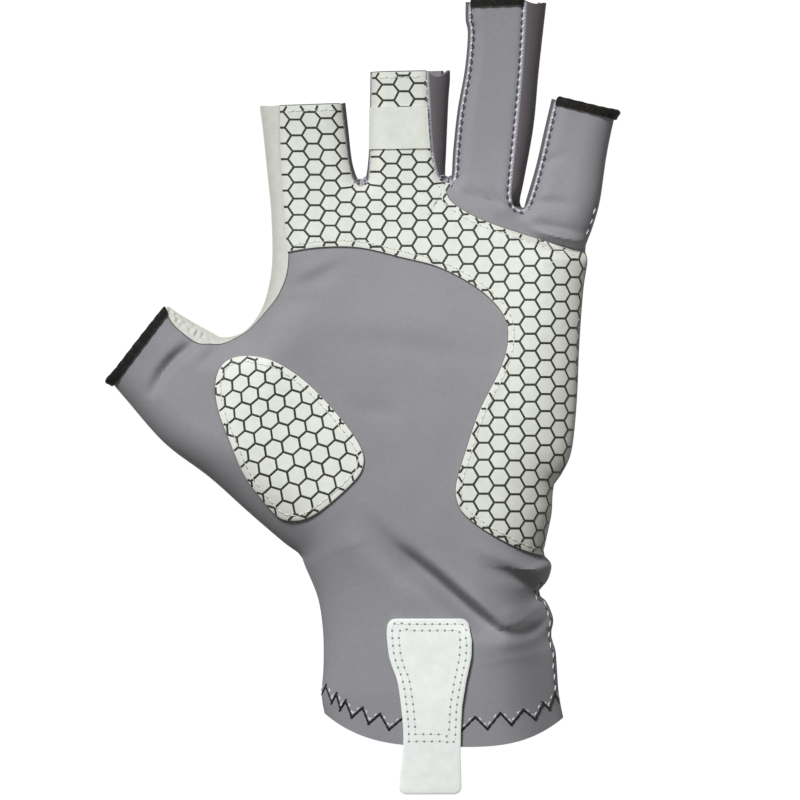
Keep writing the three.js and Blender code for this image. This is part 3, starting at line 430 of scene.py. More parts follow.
@dataclass
class GloveForm:
    """The glove's shape: its outline, the top and the back over it, and the folds."""

    edge_share: float = 0.45  # the outline's height as a share of the local one
    wrist_drop: float = 0.2  # how much less of it at the wrist's ulnar side
    drop_x: Span = (18.0, 48.0)  # x over which that sets in
    drop_y: Span = (-22.0, -50.0)  # and y
    back_roll: float = 0.6  # as a share of the top's roll
    back_round: float = 2.0
    trim_lift: float = 1.4  # how far a bound hole is held off the surface
    lift_near: float = 14.0  # whole within this distance of a hole
    lift_far: float = 26.0  # gone beyond this one
    corner_rise: float = 0.15  # panels stop this far above and below the outline
    pinch: float = 0.35  # how deep a seam draws the cloth in
    pinch_width: float = 1.0
    softening: float = 6.0  # heights are averaged this far along Y
    thumb_height: float = 15.0
    thumb_root: Span = (-30.0, -8.0)  # where its height sets in
    thumb_way: Span = (-0.8, 0.6)
    thumb_reach: float = 52.0  # how far along that way it is whole
    thumb_x: Span = (-26.0, -38.0)  # x over which it sets in
    thumb_y: Span = (45.0, 30.0)  # and y
    unevenness: Unevenness = Unevenness()
    # The sampled outline, with its inward directions.
    sides: dict[Side, Array] = field(default_factory=dict)

    def __post_init__(self) -> None:
        """Samples the outline and the folds, and works out the outline's inward directions."""
        for side, rows in OUTLINE.items():
            curve = smooth_curve(np.array(rows, float), OUTLINE_SAMPLES)
            last = len(curve) - 1
            before = curve[np.maximum(np.arange(len(curve)) - 1, 0), :2]
            after = curve[np.minimum(np.arange(len(curve)) + 1, last), :2]
            self.sides[side] = np.hstack([curve, left_of(unit(after - before))])
        self._rows = np.vstack([curve[:-1] for curve in self.sides.values()])
        self._ends = np.vstack([curve[1:] for curve in self.sides.values()])
        after = np.cumsum([len(curve) - 1 for curve in self.sides.values()])
        self._firsts, self._lasts = np.concatenate([[0], after[:-1]]), after - 1
        holes = (
            (Side.RING_MIDDLE, Side.LITTLE_RING),
            (Side.LITTLE_RING, Side.ULNAR),
            (Side.RADIAL, Side.INDEX_THUMB),
        )
        ends = [self.sides[a][0, :2] + self.sides[b][-1, :2] for a, b in holes]
        self._bound_holes = np.array(ends) / 2
        self._folds = [smooth_curve(np.array(rows, float), FOLD_SAMPLES) for rows in FOLDS.values()]

    def reach(self, plan: Array) -> EdgeReach:
        """Measures plan points against the nearest place of the outline.

        Past an open end the outline counts as running on straight, and a point outside as lying on it.

        Args:
            plan: points, as rows of x and y.

        Returns:
            How each point stands to the outline.
        """
        steps = self._ends[:, :2] - self._rows[:, :2]
        number, share, away = foot_on_lines(plan, self._rows[:, :2], steps)
        columns = self._rows[number] + share[:, None] * (self._ends[number] - self._rows[number])
        inward = unit(columns[:, IN_X:])
        straight = (away * inward).sum(-1)
        is_before = np.isin(number, self._firsts) & (share <= 0)
        is_past = is_before | (np.isin(number, self._lasts) & (share >= 1))
        side = np.where(straight < 0, -1.0, 1.0)
        distance = np.where(is_past, straight, side * np.hypot(*away.T))
        is_on_it = is_past | (np.abs(distance) < 1e-3)
        out = np.where(is_on_it[:, None], -inward, -side[:, None] * unit(away))
        return EdgeReach(
            np.maximum(distance, 0.0), out, columns[:, SEAM], columns[:, ROLL], columns[:, ROUND]
        )

    def height(self, plan: Array) -> Array:
        """Local height: a table along Y, averaged over a short stretch, which gives way to the thumb's own.

        Args:
            plan: points, as rows of x and y.

        Returns:
            The height at each.
        """
        x, y = plan.T
        spans = np.linspace(-self.softening, self.softening, 5)[:, None]
        hand = np.interp(y + spans, HEIGHTS[:, 0], HEIGHTS[:, 1]).mean(0)
        (root_x, root_y), (way_x, way_y) = self.thumb_root, self.thumb_way
        along = (x - root_x) * way_x + (y - root_y) * way_y
        thumb = soft_step(0.0, self.thumb_reach, along)
        thumb = thumb * soft_step(*self.thumb_x, x) * soft_step(*self.thumb_y, y)
        return hand + thumb * (self.thumb_height - hand)

    def edge_height(self, plan: Array) -> Array:
        """Height of the outline: a share of the local height, less at the wrist's ulnar side."""
        x, y = plan.T
        drop = self.wrist_drop * soft_step(*self.drop_x, x) * soft_step(*self.drop_y, y)
        return self.height(plan) * (self.edge_share - drop)

    def folds(self, plan: Array) -> Array:
        """Rise of all folds: each is a bell across its own curve, as high as the curve's row says.

        Args:
            plan: points, as rows of x and y.

        Returns:
            The rise at each.
        """
        total = np.zeros(len(plan))
        for curve in self._folds:
            steps = np.diff(curve, axis=0)
            number, share, away = foot_on_lines(plan, curve[:-1, :2], steps[:, :2])
            way = steps[number]
            _, _, rise, left_width, right_width = (curve[number] + share[:, None] * way).T
            is_left = way[:, X] * away[:, Y] - way[:, Y] * away[:, X] > 0
            width = np.where(is_left, left_width, right_width)
            total += rise * np.exp(-((away**2).sum(-1)) / width**2)
        return total

    @staticmethod
    def rolled(distance: Array, roll: Array, rise: Array, power: Array | float) -> tuple[Array, ...]:
        """The rounded edge, a stretched circle whose two shares to a power add up to 1.

        Args:
            distance: in from the outline.
            roll: width of the rounded edge.
            rise: from the outline's height to the whole one.
            power: the roundness, 2 for an ellipse.

        Returns:
            The height's share, and the outward and the upward part of the face's way.
        """
        left = np.clip(1 - distance / roll, 0.0, 1.0)
        up = (1 - left**power) ** (1 / power)
        out = left ** (power - 1) / roll
        over = up ** (power - 1) / rise
        length = np.hypot(out, over)
        return up, out / length, over / length

    def pinched(self, distance: Array, seam: Array) -> Array:
        """How far a seam draws the cloth in: a bell across the seam's line."""
        return self.pinch * np.exp(-(((distance - seam) / self.pinch_width) ** 2))

    def top(self, plan: Array) -> Pair:
        """The palm's outer face over plan points: the rolled edge, folds and unevenness, less the pinch.

        Args:
            plan: points, with x and y last.

        Returns:
            Points in space, and the face's way there.
        """
        flat = plan.reshape(-1, 2)
        reach = self.reach(flat)
        low = self.edge_height(flat)
        rise = self.height(flat) - low
        up, out, over = self.rolled(reach.distance, reach.roll, rise, reach.round)
        relief = self.folds(flat) + self.unevenness.over(flat)
        pinch = np.where(reach.seam > 0, self.pinched(reach.distance, reach.seam), 0.0)
        z = np.maximum(low + (rise + relief) * up - pinch * over, low + self.corner_rise)
        normal = np.column_stack([reach.out * out[:, None], over])
        shape = plan.shape[:-1] + (3,)
        return np.column_stack([flat, z]).reshape(shape), normal.reshape(shape)

    def lift(self, plan: Array) -> Array:
        """How far the back is held off the surface near a bound finger hole."""
        far = np.linalg.norm(plan[:, None] - self._bound_holes, axis=-1).min(1)
        return self.trim_lift * soft_step(self.lift_far, self.lift_near, far)

    def back(self, plan: Array) -> Pair:
        """The back's outer face, as top gives the palm's: flat on the surface inside its smaller roll."""
        flat = plan.reshape(-1, 2)
        reach = self.reach(flat)
        lift = self.lift(flat)
        drop = self.edge_height(flat) - lift
        up, out, over = self.rolled(reach.distance, reach.roll * self.back_roll, drop, self.back_round)
        z = np.minimum(lift + drop * (1 - up), lift + drop - self.corner_rise)
        normal = np.column_stack([reach.out * out[:, None], -over])
        shape = plan.shape[:-1] + (3,)
        return np.column_stack([flat, z]).reshape(shape), normal.reshape(shape)

    def wall(self, stations: Array, inset: Array, is_top: bool) -> Pair:
        """A side wall's face, measured straight in from places on the outline.

        Args:
            stations: rows of the outline.
            inset: distances in from each station, as columns.
            is_top: whether they lie over the outline's height or under it.

        Returns:
            Points in space, and the face's way there.
        """
        inward = stations[:, None, IN_X:]
        plan = stations[:, None, :2] + inward * inset[..., None]
        flat = plan.reshape(-1, 2)
        low = self.edge_height(flat).reshape(inset.shape)
        roll, seam, power = (stations[:, column, None] for column in (ROLL, SEAM, ROUND))
        if is_top:
            rise = self.height(flat).reshape(inset.shape) - low
            up, out, over = self.rolled(inset, roll, rise, power)
            z = low + (rise + self.folds(flat).reshape(inset.shape)) * up - self.pinched(inset, seam) * over
        else:
            rise = low - self.lift(flat).reshape(inset.shape)
            up, out, over = self.rolled(inset, roll * self.back_roll, rise, self.back_round)
            z = low - rise * up
            over = -over
        normal = np.concatenate([-inward * out[..., None], over[..., None]], axis=-1)
        return np.concatenate([plan, z[..., None]], axis=-1), normal


def seam_depth(rows: Array) -> Array:
    """The depth of the palm's seam at rows of the outline."""
    return rows[:, SEAM]


def placed(rows: Array, seam: Callable[[Array], Array], gap: float) -> Array:
    """Plan points of a panel's edge: the outline moved in by the seam's depth and half the gap."""
    depth = seam(rows)
    return rows[:, :2] + rows[:, IN_X:] * np.where(depth > 0, depth + gap / 2, 0.0)[:, None]


@dataclass
class OnForm:
    """Something that is laid on the glove's shape."""

    form: GloveForm


@dataclass
class PanelPlan(OnForm):
    """Where the points of the palm or the back lie on the plan, as one grid for each part."""

    seam: Callable[[Array], Array]  # the panel's seam depth at rows of the outline
    columns: int  # across one finger
    trunk_rows: tuple[int, int, int]  # wrist, thumb's root, upper palm
    finger_rows: tuple[int, int, int, int]
    thumb_rows: int
    bow: float  # how far the cuff bows past its corners
    bow_fade: float = 45.0  # how far up the wrist it fades
    bow_round: float = 3.2  # the more, the flatter its middle
    crowding: float = 0.8  # of the columns at a finger's two sides
    knuckles_from: float = 0.45  # the knuckles' bends set in at this share of the trunk
    gap: float = 0.12
    short_ring: float = 0.0  # how much sooner the ring finger's sleeve ends

    def _space(self, side: Side) -> Pair:
        """The two sides of the space between two fingers, each from its crotch to a fingertip."""
        curve = self.form.sides[side]
        crotch = int(curve[:, Y].argmin())
        return curve[: crotch + 1][::-1], curve[crotch:]

    def _thumb_space(self) -> Pair:
        """The two sides of the space at the thumb, each as the outline's rows run."""
        curve = self.form.sides[Side.INDEX_THUMB]
        crotch = int((curve[:, Y] < ROW_TILT[2, 1]).argmax())
        return curve[: crotch + 1], curve[crotch:]

    def sides_of(self, digit: Digit) -> Pair:
        """The outline's rows on a finger's two sides, from its base to its tip.

        Args:
            digit: the finger.

        Returns:
            The rows on the thumb's side and on the little finger's side.
        """
        climb = self._thumb_space()[0][::-1]
        knuckle = at_height(climb, ROW_TILT[3:, 1])
        ulnar = self.form.sides[Side.ULNAR]
        start = at_height(ulnar, ROW_TILT[3:, 0])
        first, second = self._space(Side.MIDDLE_INDEX), self._space(Side.RING_MIDDLE)
        third = self._space(Side.LITTLE_RING)
        return {
            Digit.INDEX: (np.vstack([knuckle, climb[climb[:, Y] > knuckle[0, Y]]]), first[1]),
            Digit.MIDDLE: (first[0], second[1]),
            Digit.RING: (second[0], third[1]),
            Digit.LITTLE: (third[0], np.vstack([start, ulnar[ulnar[:, Y] > start[0, Y]]])),
        }[digit]

    def thumb_sides(self) -> Pair:
        """The outline's rows on the thumb's two sides, from its base to its tip."""
        radial = self.form.sides[Side.RADIAL][::-1]
        armpit = at_height(radial, ROW_TILT[1:2, 1])
        index_side, thumb_side = self._thumb_space()
        start = at_height(index_side, ROW_TILT[2:3, 1])
        return np.vstack([armpit, radial[radial[:, Y] > armpit[0, Y]]]), np.vstack([start, thumb_side])

    def edge(self, rows: Array) -> Array:
        """Plan points of this panel's edge at rows of the outline."""
        return placed(rows, self.seam, self.gap)

    def sleeve(self, sides: Pair, base: Array, rows: int, short: float = 0.0) -> Array:
        """A finger's grid: straight rows between its two sides, from a base row to its tip.

        Args:
            sides: the outline's rows on its two sides.
            base: plan points of its base row.
            rows: number of rows to add.
            short: how much sooner than its two sides it ends.

        Returns:
            The grid, as rows of plan points.
        """
        shares = np.linspace(0.0, 1.0, rows + 1)
        left, right = (
            self.edge(resampled(side, shares * (1 - short / run_length(side)[-1]))) for side in sides
        )
        across = np.linalg.norm(base - base[0], axis=-1) / np.linalg.norm(base[-1] - base[0])
        grid = ruled(left, right, across)
        grid[0] = base
        return grid

    def top_row(self) -> Array:
        """The knuckle row, through the feet of the fingers' spaces."""
        corners = [self.edge(self.sides_of(Digit.INDEX)[0][:1])[0]]
        corners += [self.edge(self.sides_of(digit)[1][:1])[0] for digit in Digit]
        shares = crowded(self.columns, self.crowding)[:, None]
        parts = [a + shares * (b - a) for a, b in zip(corners[:-1], corners[1:])]
        return np.vstack([part[:-1] for part in parts] + [parts[-1][-1:]])

    def _left_edge(self, rows: Array) -> Array:
        """The trunk's left edge: the wrist's, the straight root of the thumb, and the hand's.

        Args:
            rows: heights at which the rows meet the ulnar side.

        Returns:
            A plan point for each row.
        """
        starts = np.interp(rows, ROW_TILT[:, 0], ROW_TILT[:, 1])
        wrist = self.edge(at_height(self.form.sides[Side.RADIAL], starts))
        hand = self.edge(at_height(self._thumb_space()[0], starts))
        share = np.clip((rows - ROW_TILT[1, 0]) / (ROW_TILT[2, 0] - ROW_TILT[1, 0]), 0.0, 1.0)[:, None]
        first, second = self.trunk_rows[0], self.trunk_rows[0] + self.trunk_rows[1]
        root = wrist[first] + share * (hand[second] - wrist[first])
        number = np.arange(len(rows))[:, None]
        return np.where(number <= first, wrist, np.where(number >= second, hand, root))

    def trunk(self) -> Array:
        """The hand's and wrist's grid, from the bowed cuff to the knuckle row."""
        spans = [
            np.linspace(a, b, count, endpoint=False)
            for a, b, count in zip(ROW_TILT[:-1, 0], ROW_TILT[1:, 0], self.trunk_rows)
        ]
        rows = np.concatenate([*spans, ROW_TILT[-1:, 0]])
        left = self._left_edge(rows)
        right = self.edge(at_height(self.form.sides[Side.ULNAR], rows))
        top = self.top_row()
        top_shares = np.linalg.norm(top - top[0], axis=-1)
        top_shares = top_shares / top_shares[-1]
        low_shares = crowded(len(top) - 1, self.crowding)
        climb = (rows - rows[0]) / (rows[-1] - rows[0])
        shares = low_shares + soft_step(0.0, 1.0, climb)[:, None] * (top_shares - low_shares)
        grid = ruled(left, right, shares)
        straight = top[0] + top_shares[:, None] * (top[-1] - top[0])
        grid += soft_step(self.knuckles_from, 1.0, climb)[:, None, None] * (top - straight)
        fade = self.bow * (1 - soft_step(0.0, self.bow_fade, rows - rows[0]))
        grid[..., 1] -= fade[:, None] * (1 - np.abs(2 * shares - 1) ** self.bow_round)
        grid[-1] = top
        return grid

    def grids(self) -> dict[str, Array]:
        """All grids of the panel, by name."""
        trunk = self.trunk()
        found = {"trunk": trunk}
        for digit in Digit:
            first = digit.value * self.columns
            base = trunk[-1, first : first + self.columns + 1]
            short = self.short_ring if digit is Digit.RING else 0.0
            found[digit.name] = self.sleeve(self.sides_of(digit), base, self.finger_rows[digit.value], short)
        first, second = self.trunk_rows[0], self.trunk_rows[0] + self.trunk_rows[1]
        found["THUMB"] = self.sleeve(self.thumb_sides(), trunk[first : second + 1, 0], self.thumb_rows)
        return found


@dataclass
class Sewn:
    """Grids of points that share their borders, sewn into one closed sheet of cloth."""

    weld: int = 500  # points nearer than one 500th of a millimetre become one
    points: list[Array] = field(default_factory=list)
    normals: list[Array] = field(default_factory=list)
    faces: list[Array] = field(default_factory=list)
    count: int = 0

    @classmethod
    def laid(cls, face: Face, grids: Iterable[Array]) -> "Sewn":
        """Sews plan grids that are laid on a face."""
        cloth = cls()
        for grid in grids:
            cloth.add(*face(grid))
        return cloth

    def add(self, points: Array, normals: Array) -> None:
        """Adds a grid whose columns run to the right and rows upwards, as seen from its face."""
        self.faces.append(grid_faces(numbered(points) + self.count))
        self.points.append(points.reshape(-1, 3))
        self.normals.append(normals.reshape(-1, 3))
        self.count += len(self.points[-1])

    def merged(self) -> tuple[Array, Array, Array]:
        """Points, normals and faces, with points that lie together made one."""
        points, normals = np.vstack(self.points), np.vstack(self.normals)
        keys = np.round(points * self.weld).astype(np.int64)
        _, kept, place = np.unique(keys, axis=0, return_index=True, return_inverse=True)
        faces = place.ravel()[np.vstack(self.faces)]
        return points[kept], unit(normals[kept]), faces

    def solid(self, inner: Array | float, outer: Array | float, is_flipped: bool = False) -> Shape:
        """The closed wall between two offsets along the normals.

        Args:
            inner: offset of its hidden face.
            outer: offset of its outer face.
            is_flipped: whether the grids' faces run the other way round.

        Returns:
            Points and faces.
        """
        points, normals, faces = self.merged()
        if is_flipped:
            faces = faces[:, ::-1]
        size = len(points)
        offsets = [np.broadcast_to(np.asarray(offset, float), size)[:, None] for offset in (outer, inner)]
        corners = np.vstack([points + normals * offset for offset in offsets])
        a, b = faces.ravel(), np.roll(faces, -1, axis=1).ravel()
        is_rim = ~np.isin(a * size + b, b * size + a)
        a, b = a[is_rim], b[is_rim]
        rim = np.stack([b, a, a + size, b + size], axis=-1)
        return corners, [np.vstack([faces, faces[:, ::-1] + size, rim])]


def added(name: str, data: bpy.types.ID) -> bpy.types.Object:
    """An object with this data, linked into the scene."""
    made = bpy.data.objects.new(name, data)
    bpy.context.scene.collection.objects.link(made)
    return made


@dataclass
class Workbench:
    """Turns plan millimetres into meshes in the part's frame, and reports each piece."""

    shift: Array

    def mesh(self, name: str, shape: Shape, crease: float) -> bpy.types.Object:
        """Makes a smooth-shaded mesh object at the origin, with the arguments that piece has."""
        points, faces = shape
        data = bpy.data.meshes.new(name)
        sizes = np.concatenate([np.full(len(part), part.shape[1]) for part in faces])
        corners = np.concatenate([part.ravel() for part in faces])
        data.vertices.add(len(points))
        data.vertices.foreach_set("co", ((points + self.shift) * MILLIMETRE).astype(np.float32).ravel())
        data.loops.add(len(corners))
        data.loops.foreach_set("vertex_index", corners.astype(np.int32))
        data.polygons.add(len(sizes))
        starts = np.concatenate([[0], np.cumsum(sizes)[:-1]])
        data.polygons.foreach_set("loop_start", starts.astype(np.int32))
        data.update(calc_edges=True)
        data.polygons.foreach_set("use_smooth", np.ones(len(sizes), bool))
        data.set_sharp_from_angle(angle=math.radians(crease))
        return added(name, data)

    def piece(self, name: str, shape: Shape, finish: "Finish", *nodes: str, crease: float = 40.0) -> None:
        """Makes a piece, gives it its finish, lets it ride on the root and hides the nodes it stands for.

        Args:
            name: its name.
            shape: its points, in plan millimetres, and its faces.
            finish: its finish.
            nodes: the solids that it replaces.
            crease: angle in degrees beyond which an edge stays sharp.
        """
        made = self.mesh(name, shape, crease)
        made.data.materials.append(finish.material())
        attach(made, "root")
        if nodes:
            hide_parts(*nodes)
        triangles = sum(len(face.vertices) - 2 for face in made.data.polygons)
        corners = np.array(made.bound_box) / MILLIMETRE
        low, high = corners.min(0).round(1), corners.max(0).round(1)
        log.info("%s: %d triangles, %s to %s mm", name, triangles, low, high)


@dataclass
class NodeBoard:
    """Builds a material's nodes with short calls."""

    made: bpy.types.Material

    def add(self, kind: str, **settings: object) -> Node:
        """Adds a node and sets it."""
        node = self.made.node_tree.nodes.new(kind)
        self.set(node, **settings)
        return node

    def set(self, node: Node, **settings: object) -> None:
        """Sets a node: settings named for an input go to it, and others to the node's own field.

        Args:
            node: the node.
            settings: constants, or outputs to be joined to an input.
        """
        for name, value in settings.items():
            socket = node.inputs.get(name.replace("_", " "))
            if socket is None:
                setattr(node, name, value)
            elif isinstance(value, Socket):
                self.link(value, socket)
            else:
                socket.default_value = value

    def link(self, source: Socket, target: Socket) -> None:
        """Joins an output to an input."""
        self.made.node_tree.links.new(source, target)

    def noise(self, place: Socket, scale: float, detail: float, roughness: float = 0.5) -> Socket:
        """Cloudy noise from 0 to 1."""
        node = self.add("ShaderNodeTexNoise", Vector=place, Scale=scale, Detail=detail, Roughness=roughness)
        return node.outputs[0]

    def mixed(self, share: Socket, a: tuple, b: tuple) -> Socket:
        """A colour between two, by a share."""
        node = self.add("ShaderNodeMix", data_type="RGBA")
        self.link(share, node.inputs["Factor"])
        for socket, colour in ((node.inputs[6], a), (node.inputs[7], b)):
            if isinstance(colour, Socket):
                self.link(colour, socket)
            else:
                socket.default_value = (*colour, 1.0)
        return node.outputs[2]

    def bump(self, shader: Node, height: Socket, strength: float, depth: float) -> None:
        """Gives a shader a fine relief, whose depth is in millimetres."""
        bump = self.add("ShaderNodeBump", Strength=strength, Distance=depth * MILLIMETRE, Height=height)
        self.link(bump.outputs[0], shader.inputs["Normal"])


def linear(red: float, green: float, blue: float) -> Triple:
    """A screen colour from 0 to 255 as the light's own share, by the usual screen curve."""
    shares = np.array([red, green, blue]) / 255
    curve = np.where(shares <= 0.04045, shares / 12.92, ((shares + 0.055) / 1.055) ** 2.4)
    return tuple(float(value) for value in curve)


def shaded(colour: Sequence[float], share: float) -> tuple[float, ...]:
    """A colour made darker or lighter by a share, and no lighter than white."""
    return tuple(min(value * share, 1.0) for value in colour)


@dataclass(frozen=True)
class Finish:
    """A surface finish, which subclasses paint."""

    name: str
    slot: str  # the record's slot for it
    colour: Triple  # its screen colour, from 0 to 255

    def material(self) -> bpy.types.Material:
        """The material, made once."""
        found = bpy.data.materials.get(self.name)
        if found:
            return found
        made = bpy.data.materials.new(self.name)
        made.use_nodes = True
        made.node_tree.nodes.clear()
        board = NodeBoard(made)
        shader = board.add("ShaderNodeBsdfPrincipled")
        board.link(shader.outputs[0], board.add("ShaderNodeOutputMaterial").inputs[0])
        self.paint(board, shader, board.add("ShaderNodeTexCoord").outputs["Object"])
        return made

    def paint(self, board: NodeBoard, shader: Node, place: Socket) -> None:
        """Adds this finish's colour, roughness and relief."""
        raise NotImplementedError


@dataclass(frozen=True)
class StretchKnit(Finish):
    """Smooth matte stretch fabric with a fine knit and faint cloudy shades."""

    def paint(self, board: NodeBoard, shader: Node, place: Socket) -> None:
        """Clouds of shade 20 mm wide, a grain, a fine knit of crossing bands, and a soft sheen."""
        base = linear(*self.colour)
        cloud = board.noise(place, 45.0, 3.0, 0.55)
        grain = board.noise(place, 700.0, 2.0, 0.6)
        low = board.mixed(cloud, shaded(base, 0.85), shaded(base, 1.0))
        high = board.mixed(cloud, shaded(base, 1.0), shaded(base, 1.15))
        board.link(board.mixed(grain, low, high), shader.inputs["Base Color"])
        knit = board.add("ShaderNodeMath", operation="MULTIPLY")
        for socket, way, scale in zip(knit.inputs, "XY", (600.0, 520.0)):
            bands = board.add("ShaderNodeTexWave", Vector=place, Scale=scale, Distortion=0.6)
            bands.bands_direction = way
            board.link(bands.outputs["Fac"], socket)
        board.bump(shader, knit.outputs[0], 0.2, 0.04)
        board.set(shader, Roughness=0.78, Sheen_Weight=0.1, Sheen_Roughness=0.4, Specular_IOR_Level=0.25)


@dataclass(frozen=True)
class Suede(Finish):
    """Off-white synthetic suede with a short nap."""

    def paint(self, board: NodeBoard, shader: Node, place: Socket) -> None:
        """Faint mottling 3 mm wide, and a nap a third of a millimetre wide."""
        base = linear(*self.colour)
        mottle = board.noise(place, 320.0, 4.0, 0.6)
        ramp = board.add("ShaderNodeMapRange", Value=mottle, From_Min=0.3, From_Max=0.75)
        colour = board.mixed(ramp.outputs[0], shaded(base, 0.93), shaded(base, 1.04))
        board.link(colour, shader.inputs["Base Color"])
        board.bump(shader, board.noise(place, 2600.0, 2.0, 0.7), 0.3, 0.06)
        board.set(shader, Roughness=0.92, Sheen_Weight=1.0, Sheen_Roughness=0.5, Specular_IOR_Level=0.2)
        board.set(shader, Sheen_Tint=(1.0, 0.96, 0.88, 1))


@dataclass(frozen=True)
class WovenElastic(Finish):
    """Black woven elastic."""

    fleck: Triple = (58, 55, 50)  # lighter threads

    def paint(self, board: NodeBoard, shader: Node, place: Socket) -> None:
        """Specks of lighter thread in a dark weave."""
        speck = board.noise(place, 1300.0, 3.0, 0.7)
        ramp = board.add("ShaderNodeMapRange", Value=speck, From_Min=0.5, From_Max=0.75)
        colour = board.mixed(ramp.outputs[0], linear(*self.colour), linear(*self.fleck))
        board.link(colour, shader.inputs["Base Color"])
        board.bump(shader, speck, 0.5, 0.1)
        board.set(shader, Roughness=0.85, Specular_IOR_Level=0.2)


@dataclass(frozen=True)
class Thread(Finish):
    """Twisted sewing thread, or the thin rubbery print of the honeycomb."""

    roughness: float = 0.6

    def paint(self, board: NodeBoard, shader: Node, place: Socket) -> None:
        """A fine twist in light and dark."""
        base = linear(*self.colour)
        twist = board.noise(place, 2200.0, 1.0)
        board.link(board.mixed(twist, shaded(base, 0.75), shaded(base, 1.25)), shader.inputs["Base Color"])
        board.bump(shader, twist, 0.2, 0.04)
        board.set(shader, Roughness=self.roughness, Specular_IOR_Level=0.3)


GREY_KNIT = StretchKnit("grey stretch knit", "grey_fabric", (141, 141, 146))
# A darker, browner copy of the grey knit for the fingers' side walls: painted shade where they turn away
# from the light.
SHADED_SIDE_KNIT = StretchKnit("side stretch knit", "grey_fabric", (104, 99, 103))
OFF_WHITE_SUEDE = Suede("off-white suede", "white_suede", (218, 222, 214))
TAB_SUEDE = Suede("tab suede", "white_suede", (239, 245, 242))
THENAR_SUEDE = Suede("thenar suede", "white_suede", (228, 232, 224))
# A darker copy of the off-white suede for the strip from the index finger to the thumb: painted shade where
# it turns away from the light.
SHADED_SIDE_SUEDE = Suede("side suede", "white_suede", (207, 209, 202))
# A dark bead round the patches' cut edges: painted shade for the shadow line along them.
SUEDE_EDGE_SHADE = Suede("suede backing", "white_suede", (104, 105, 100))
BLACK_ELASTIC = WovenElastic("black elastic", "black_elastic", (27, 25, 23))
BLACK_PRINT = Thread("black honeycomb print", "black_elastic", (54, 56, 50), 0.5)
BLACK_THREAD = Thread("black thread", "black_elastic", (24, 23, 23), 0.6)
LIGHT_THREAD = Thread("light grey thread", "grey_fabric", (222, 221, 228), 0.6)
LAVENDER_THREAD = Thread("lavender grey thread", "grey_fabric", (170, 169, 178), 0.7)
# Dark marks between stitches: painted shade in the gaps and holes of the seams.
STITCH_GAP_SHADE = Thread("dark grey thread", "grey_fabric", (70, 69, 84), 0.7)
# The dark line along the suede strip's seam: painted shade.
SEAM_SHADE = Thread("grey-brown thread", "grey_fabric", (96, 92, 90), 0.8)
# Grey dots where the needle went through: painted shade in the holes.
NEEDLE_HOLE_SHADE = Thread("needle holes", "white_suede", (146, 149, 143), 0.9)
SUEDE_THREAD = Thread("off-white thread", "white_suede", (222, 226, 219), 0.7)


@dataclass(frozen=True)
class Region:
    """A closed outline on the plan, which tells what lies inside it."""

    edge: Array  # its corners, in order

    def depth(self, plan: Array) -> Array:
        """How deep points lie inside the edge: by its nearest piece, and how often a ray crosses it.

        Args:
            plan: points, with x and y last.

        Returns:
            The depth at each, negative outside.
        """
        flat = plan.reshape(-1, 2)
        ends = np.roll(self.edge, -1, axis=0)
        _, _, away = foot_on_lines(flat, self.edge, ends - self.edge)
        is_inside = np.zeros(len(flat), bool)
        (ax, ay), (bx, by) = self.edge.T, ends.T
        safe = np.where(by == ay, 1.0, by - ay)
        for part in np.array_split(np.arange(len(flat)), max(1, len(flat) // BATCH)):
            x, y = flat[part, :1], flat[part, 1:]
            spans = (ay > y) != (by > y)
            is_inside[part] = (spans & (x < ax + (y - ay) * (bx - ax) / safe)).sum(1) % 2 == 1
        distance = np.hypot(*away.T)
        return np.where(is_inside, distance, -distance).reshape(plan.shape[:-1])


def strands(paths: Array, normals: Array, section: Array, scale: Array | float = 1.0) -> Shape:
    """Carries one closed section along many short paths at once.

    Args:
        paths: points of each path, as paths by stations by 3.
        normals: the way up at each of them.
        section: the section's corners, each a step aside and a step up.
        scale: the section's size at each station of each path.

    Returns:
        Points, and two arrays of faces: the sides and the ends.
    """
    along = unit(np.gradient(paths, axis=1))
    aside = unit(np.cross(along, normals))
    size = np.broadcast_to(np.asarray(scale, float), paths.shape[:2])[..., None, None]
    rings = (
        paths[:, :, None]
        + size * section[:, :1] * aside[:, :, None]
        + size * section[:, 1:] * normals[:, :, None]
    )
    number = numbered(rings)
    after = np.roll(number, -1, axis=2)
    quads = np.stack([number[:, :-1], number[:, 1:], after[:, 1:], after[:, :-1]], axis=-1).reshape(-1, 4)
    ends = np.vstack([number[:, 0], number[:, -1, ::-1]])
    return rings.reshape(-1, 3), [quads, ends]


def joined(shapes: Sequence[Shape]) -> Shape:
    """Puts the points and faces of several shapes together in one."""
    before = np.cumsum([0] + [len(points) for points, _ in shapes[:-1]])
    points = np.vstack([points for points, _ in shapes])
    return points, [faces + start for (_, parts), start in zip(shapes, before) for faces in parts]


def round_section(width: float, height: float, corners: int = 6) -> Array:
    """A flattened round section, as steps aside and up."""
    turn = np.arange(corners) * 2 * np.pi / corners
    return np.column_stack([np.cos(turn) * width / 2, np.sin(turn) * height / 2])


def sewing(edge: Array, pitch: float, shift: float = 0.0) -> Array:
    """Places of stitches along a line, evenly spaced, with the way that the line runs at each.

    Args:
        edge: the line, as rows of x and y.
        pitch: from stitch to stitch.
        shift: moves every place along by this share of the pitch.

    Returns:
        Rows of x, y and the way.
    """
    count = int(run_length(edge)[-1] / pitch)
    centres = resampled(edge[:, :2], (np.arange(count) + 0.5 + shift) / count)
    return np.hstack([centres, unit(np.gradient(centres, axis=0))])


def between(places: Array, pitch: float) -> Array:
    """Places half a pitch further on, where the needle's holes are."""
    return places + np.hstack([places[:, 2:] * pitch / 2, np.zeros((len(places), 2))])


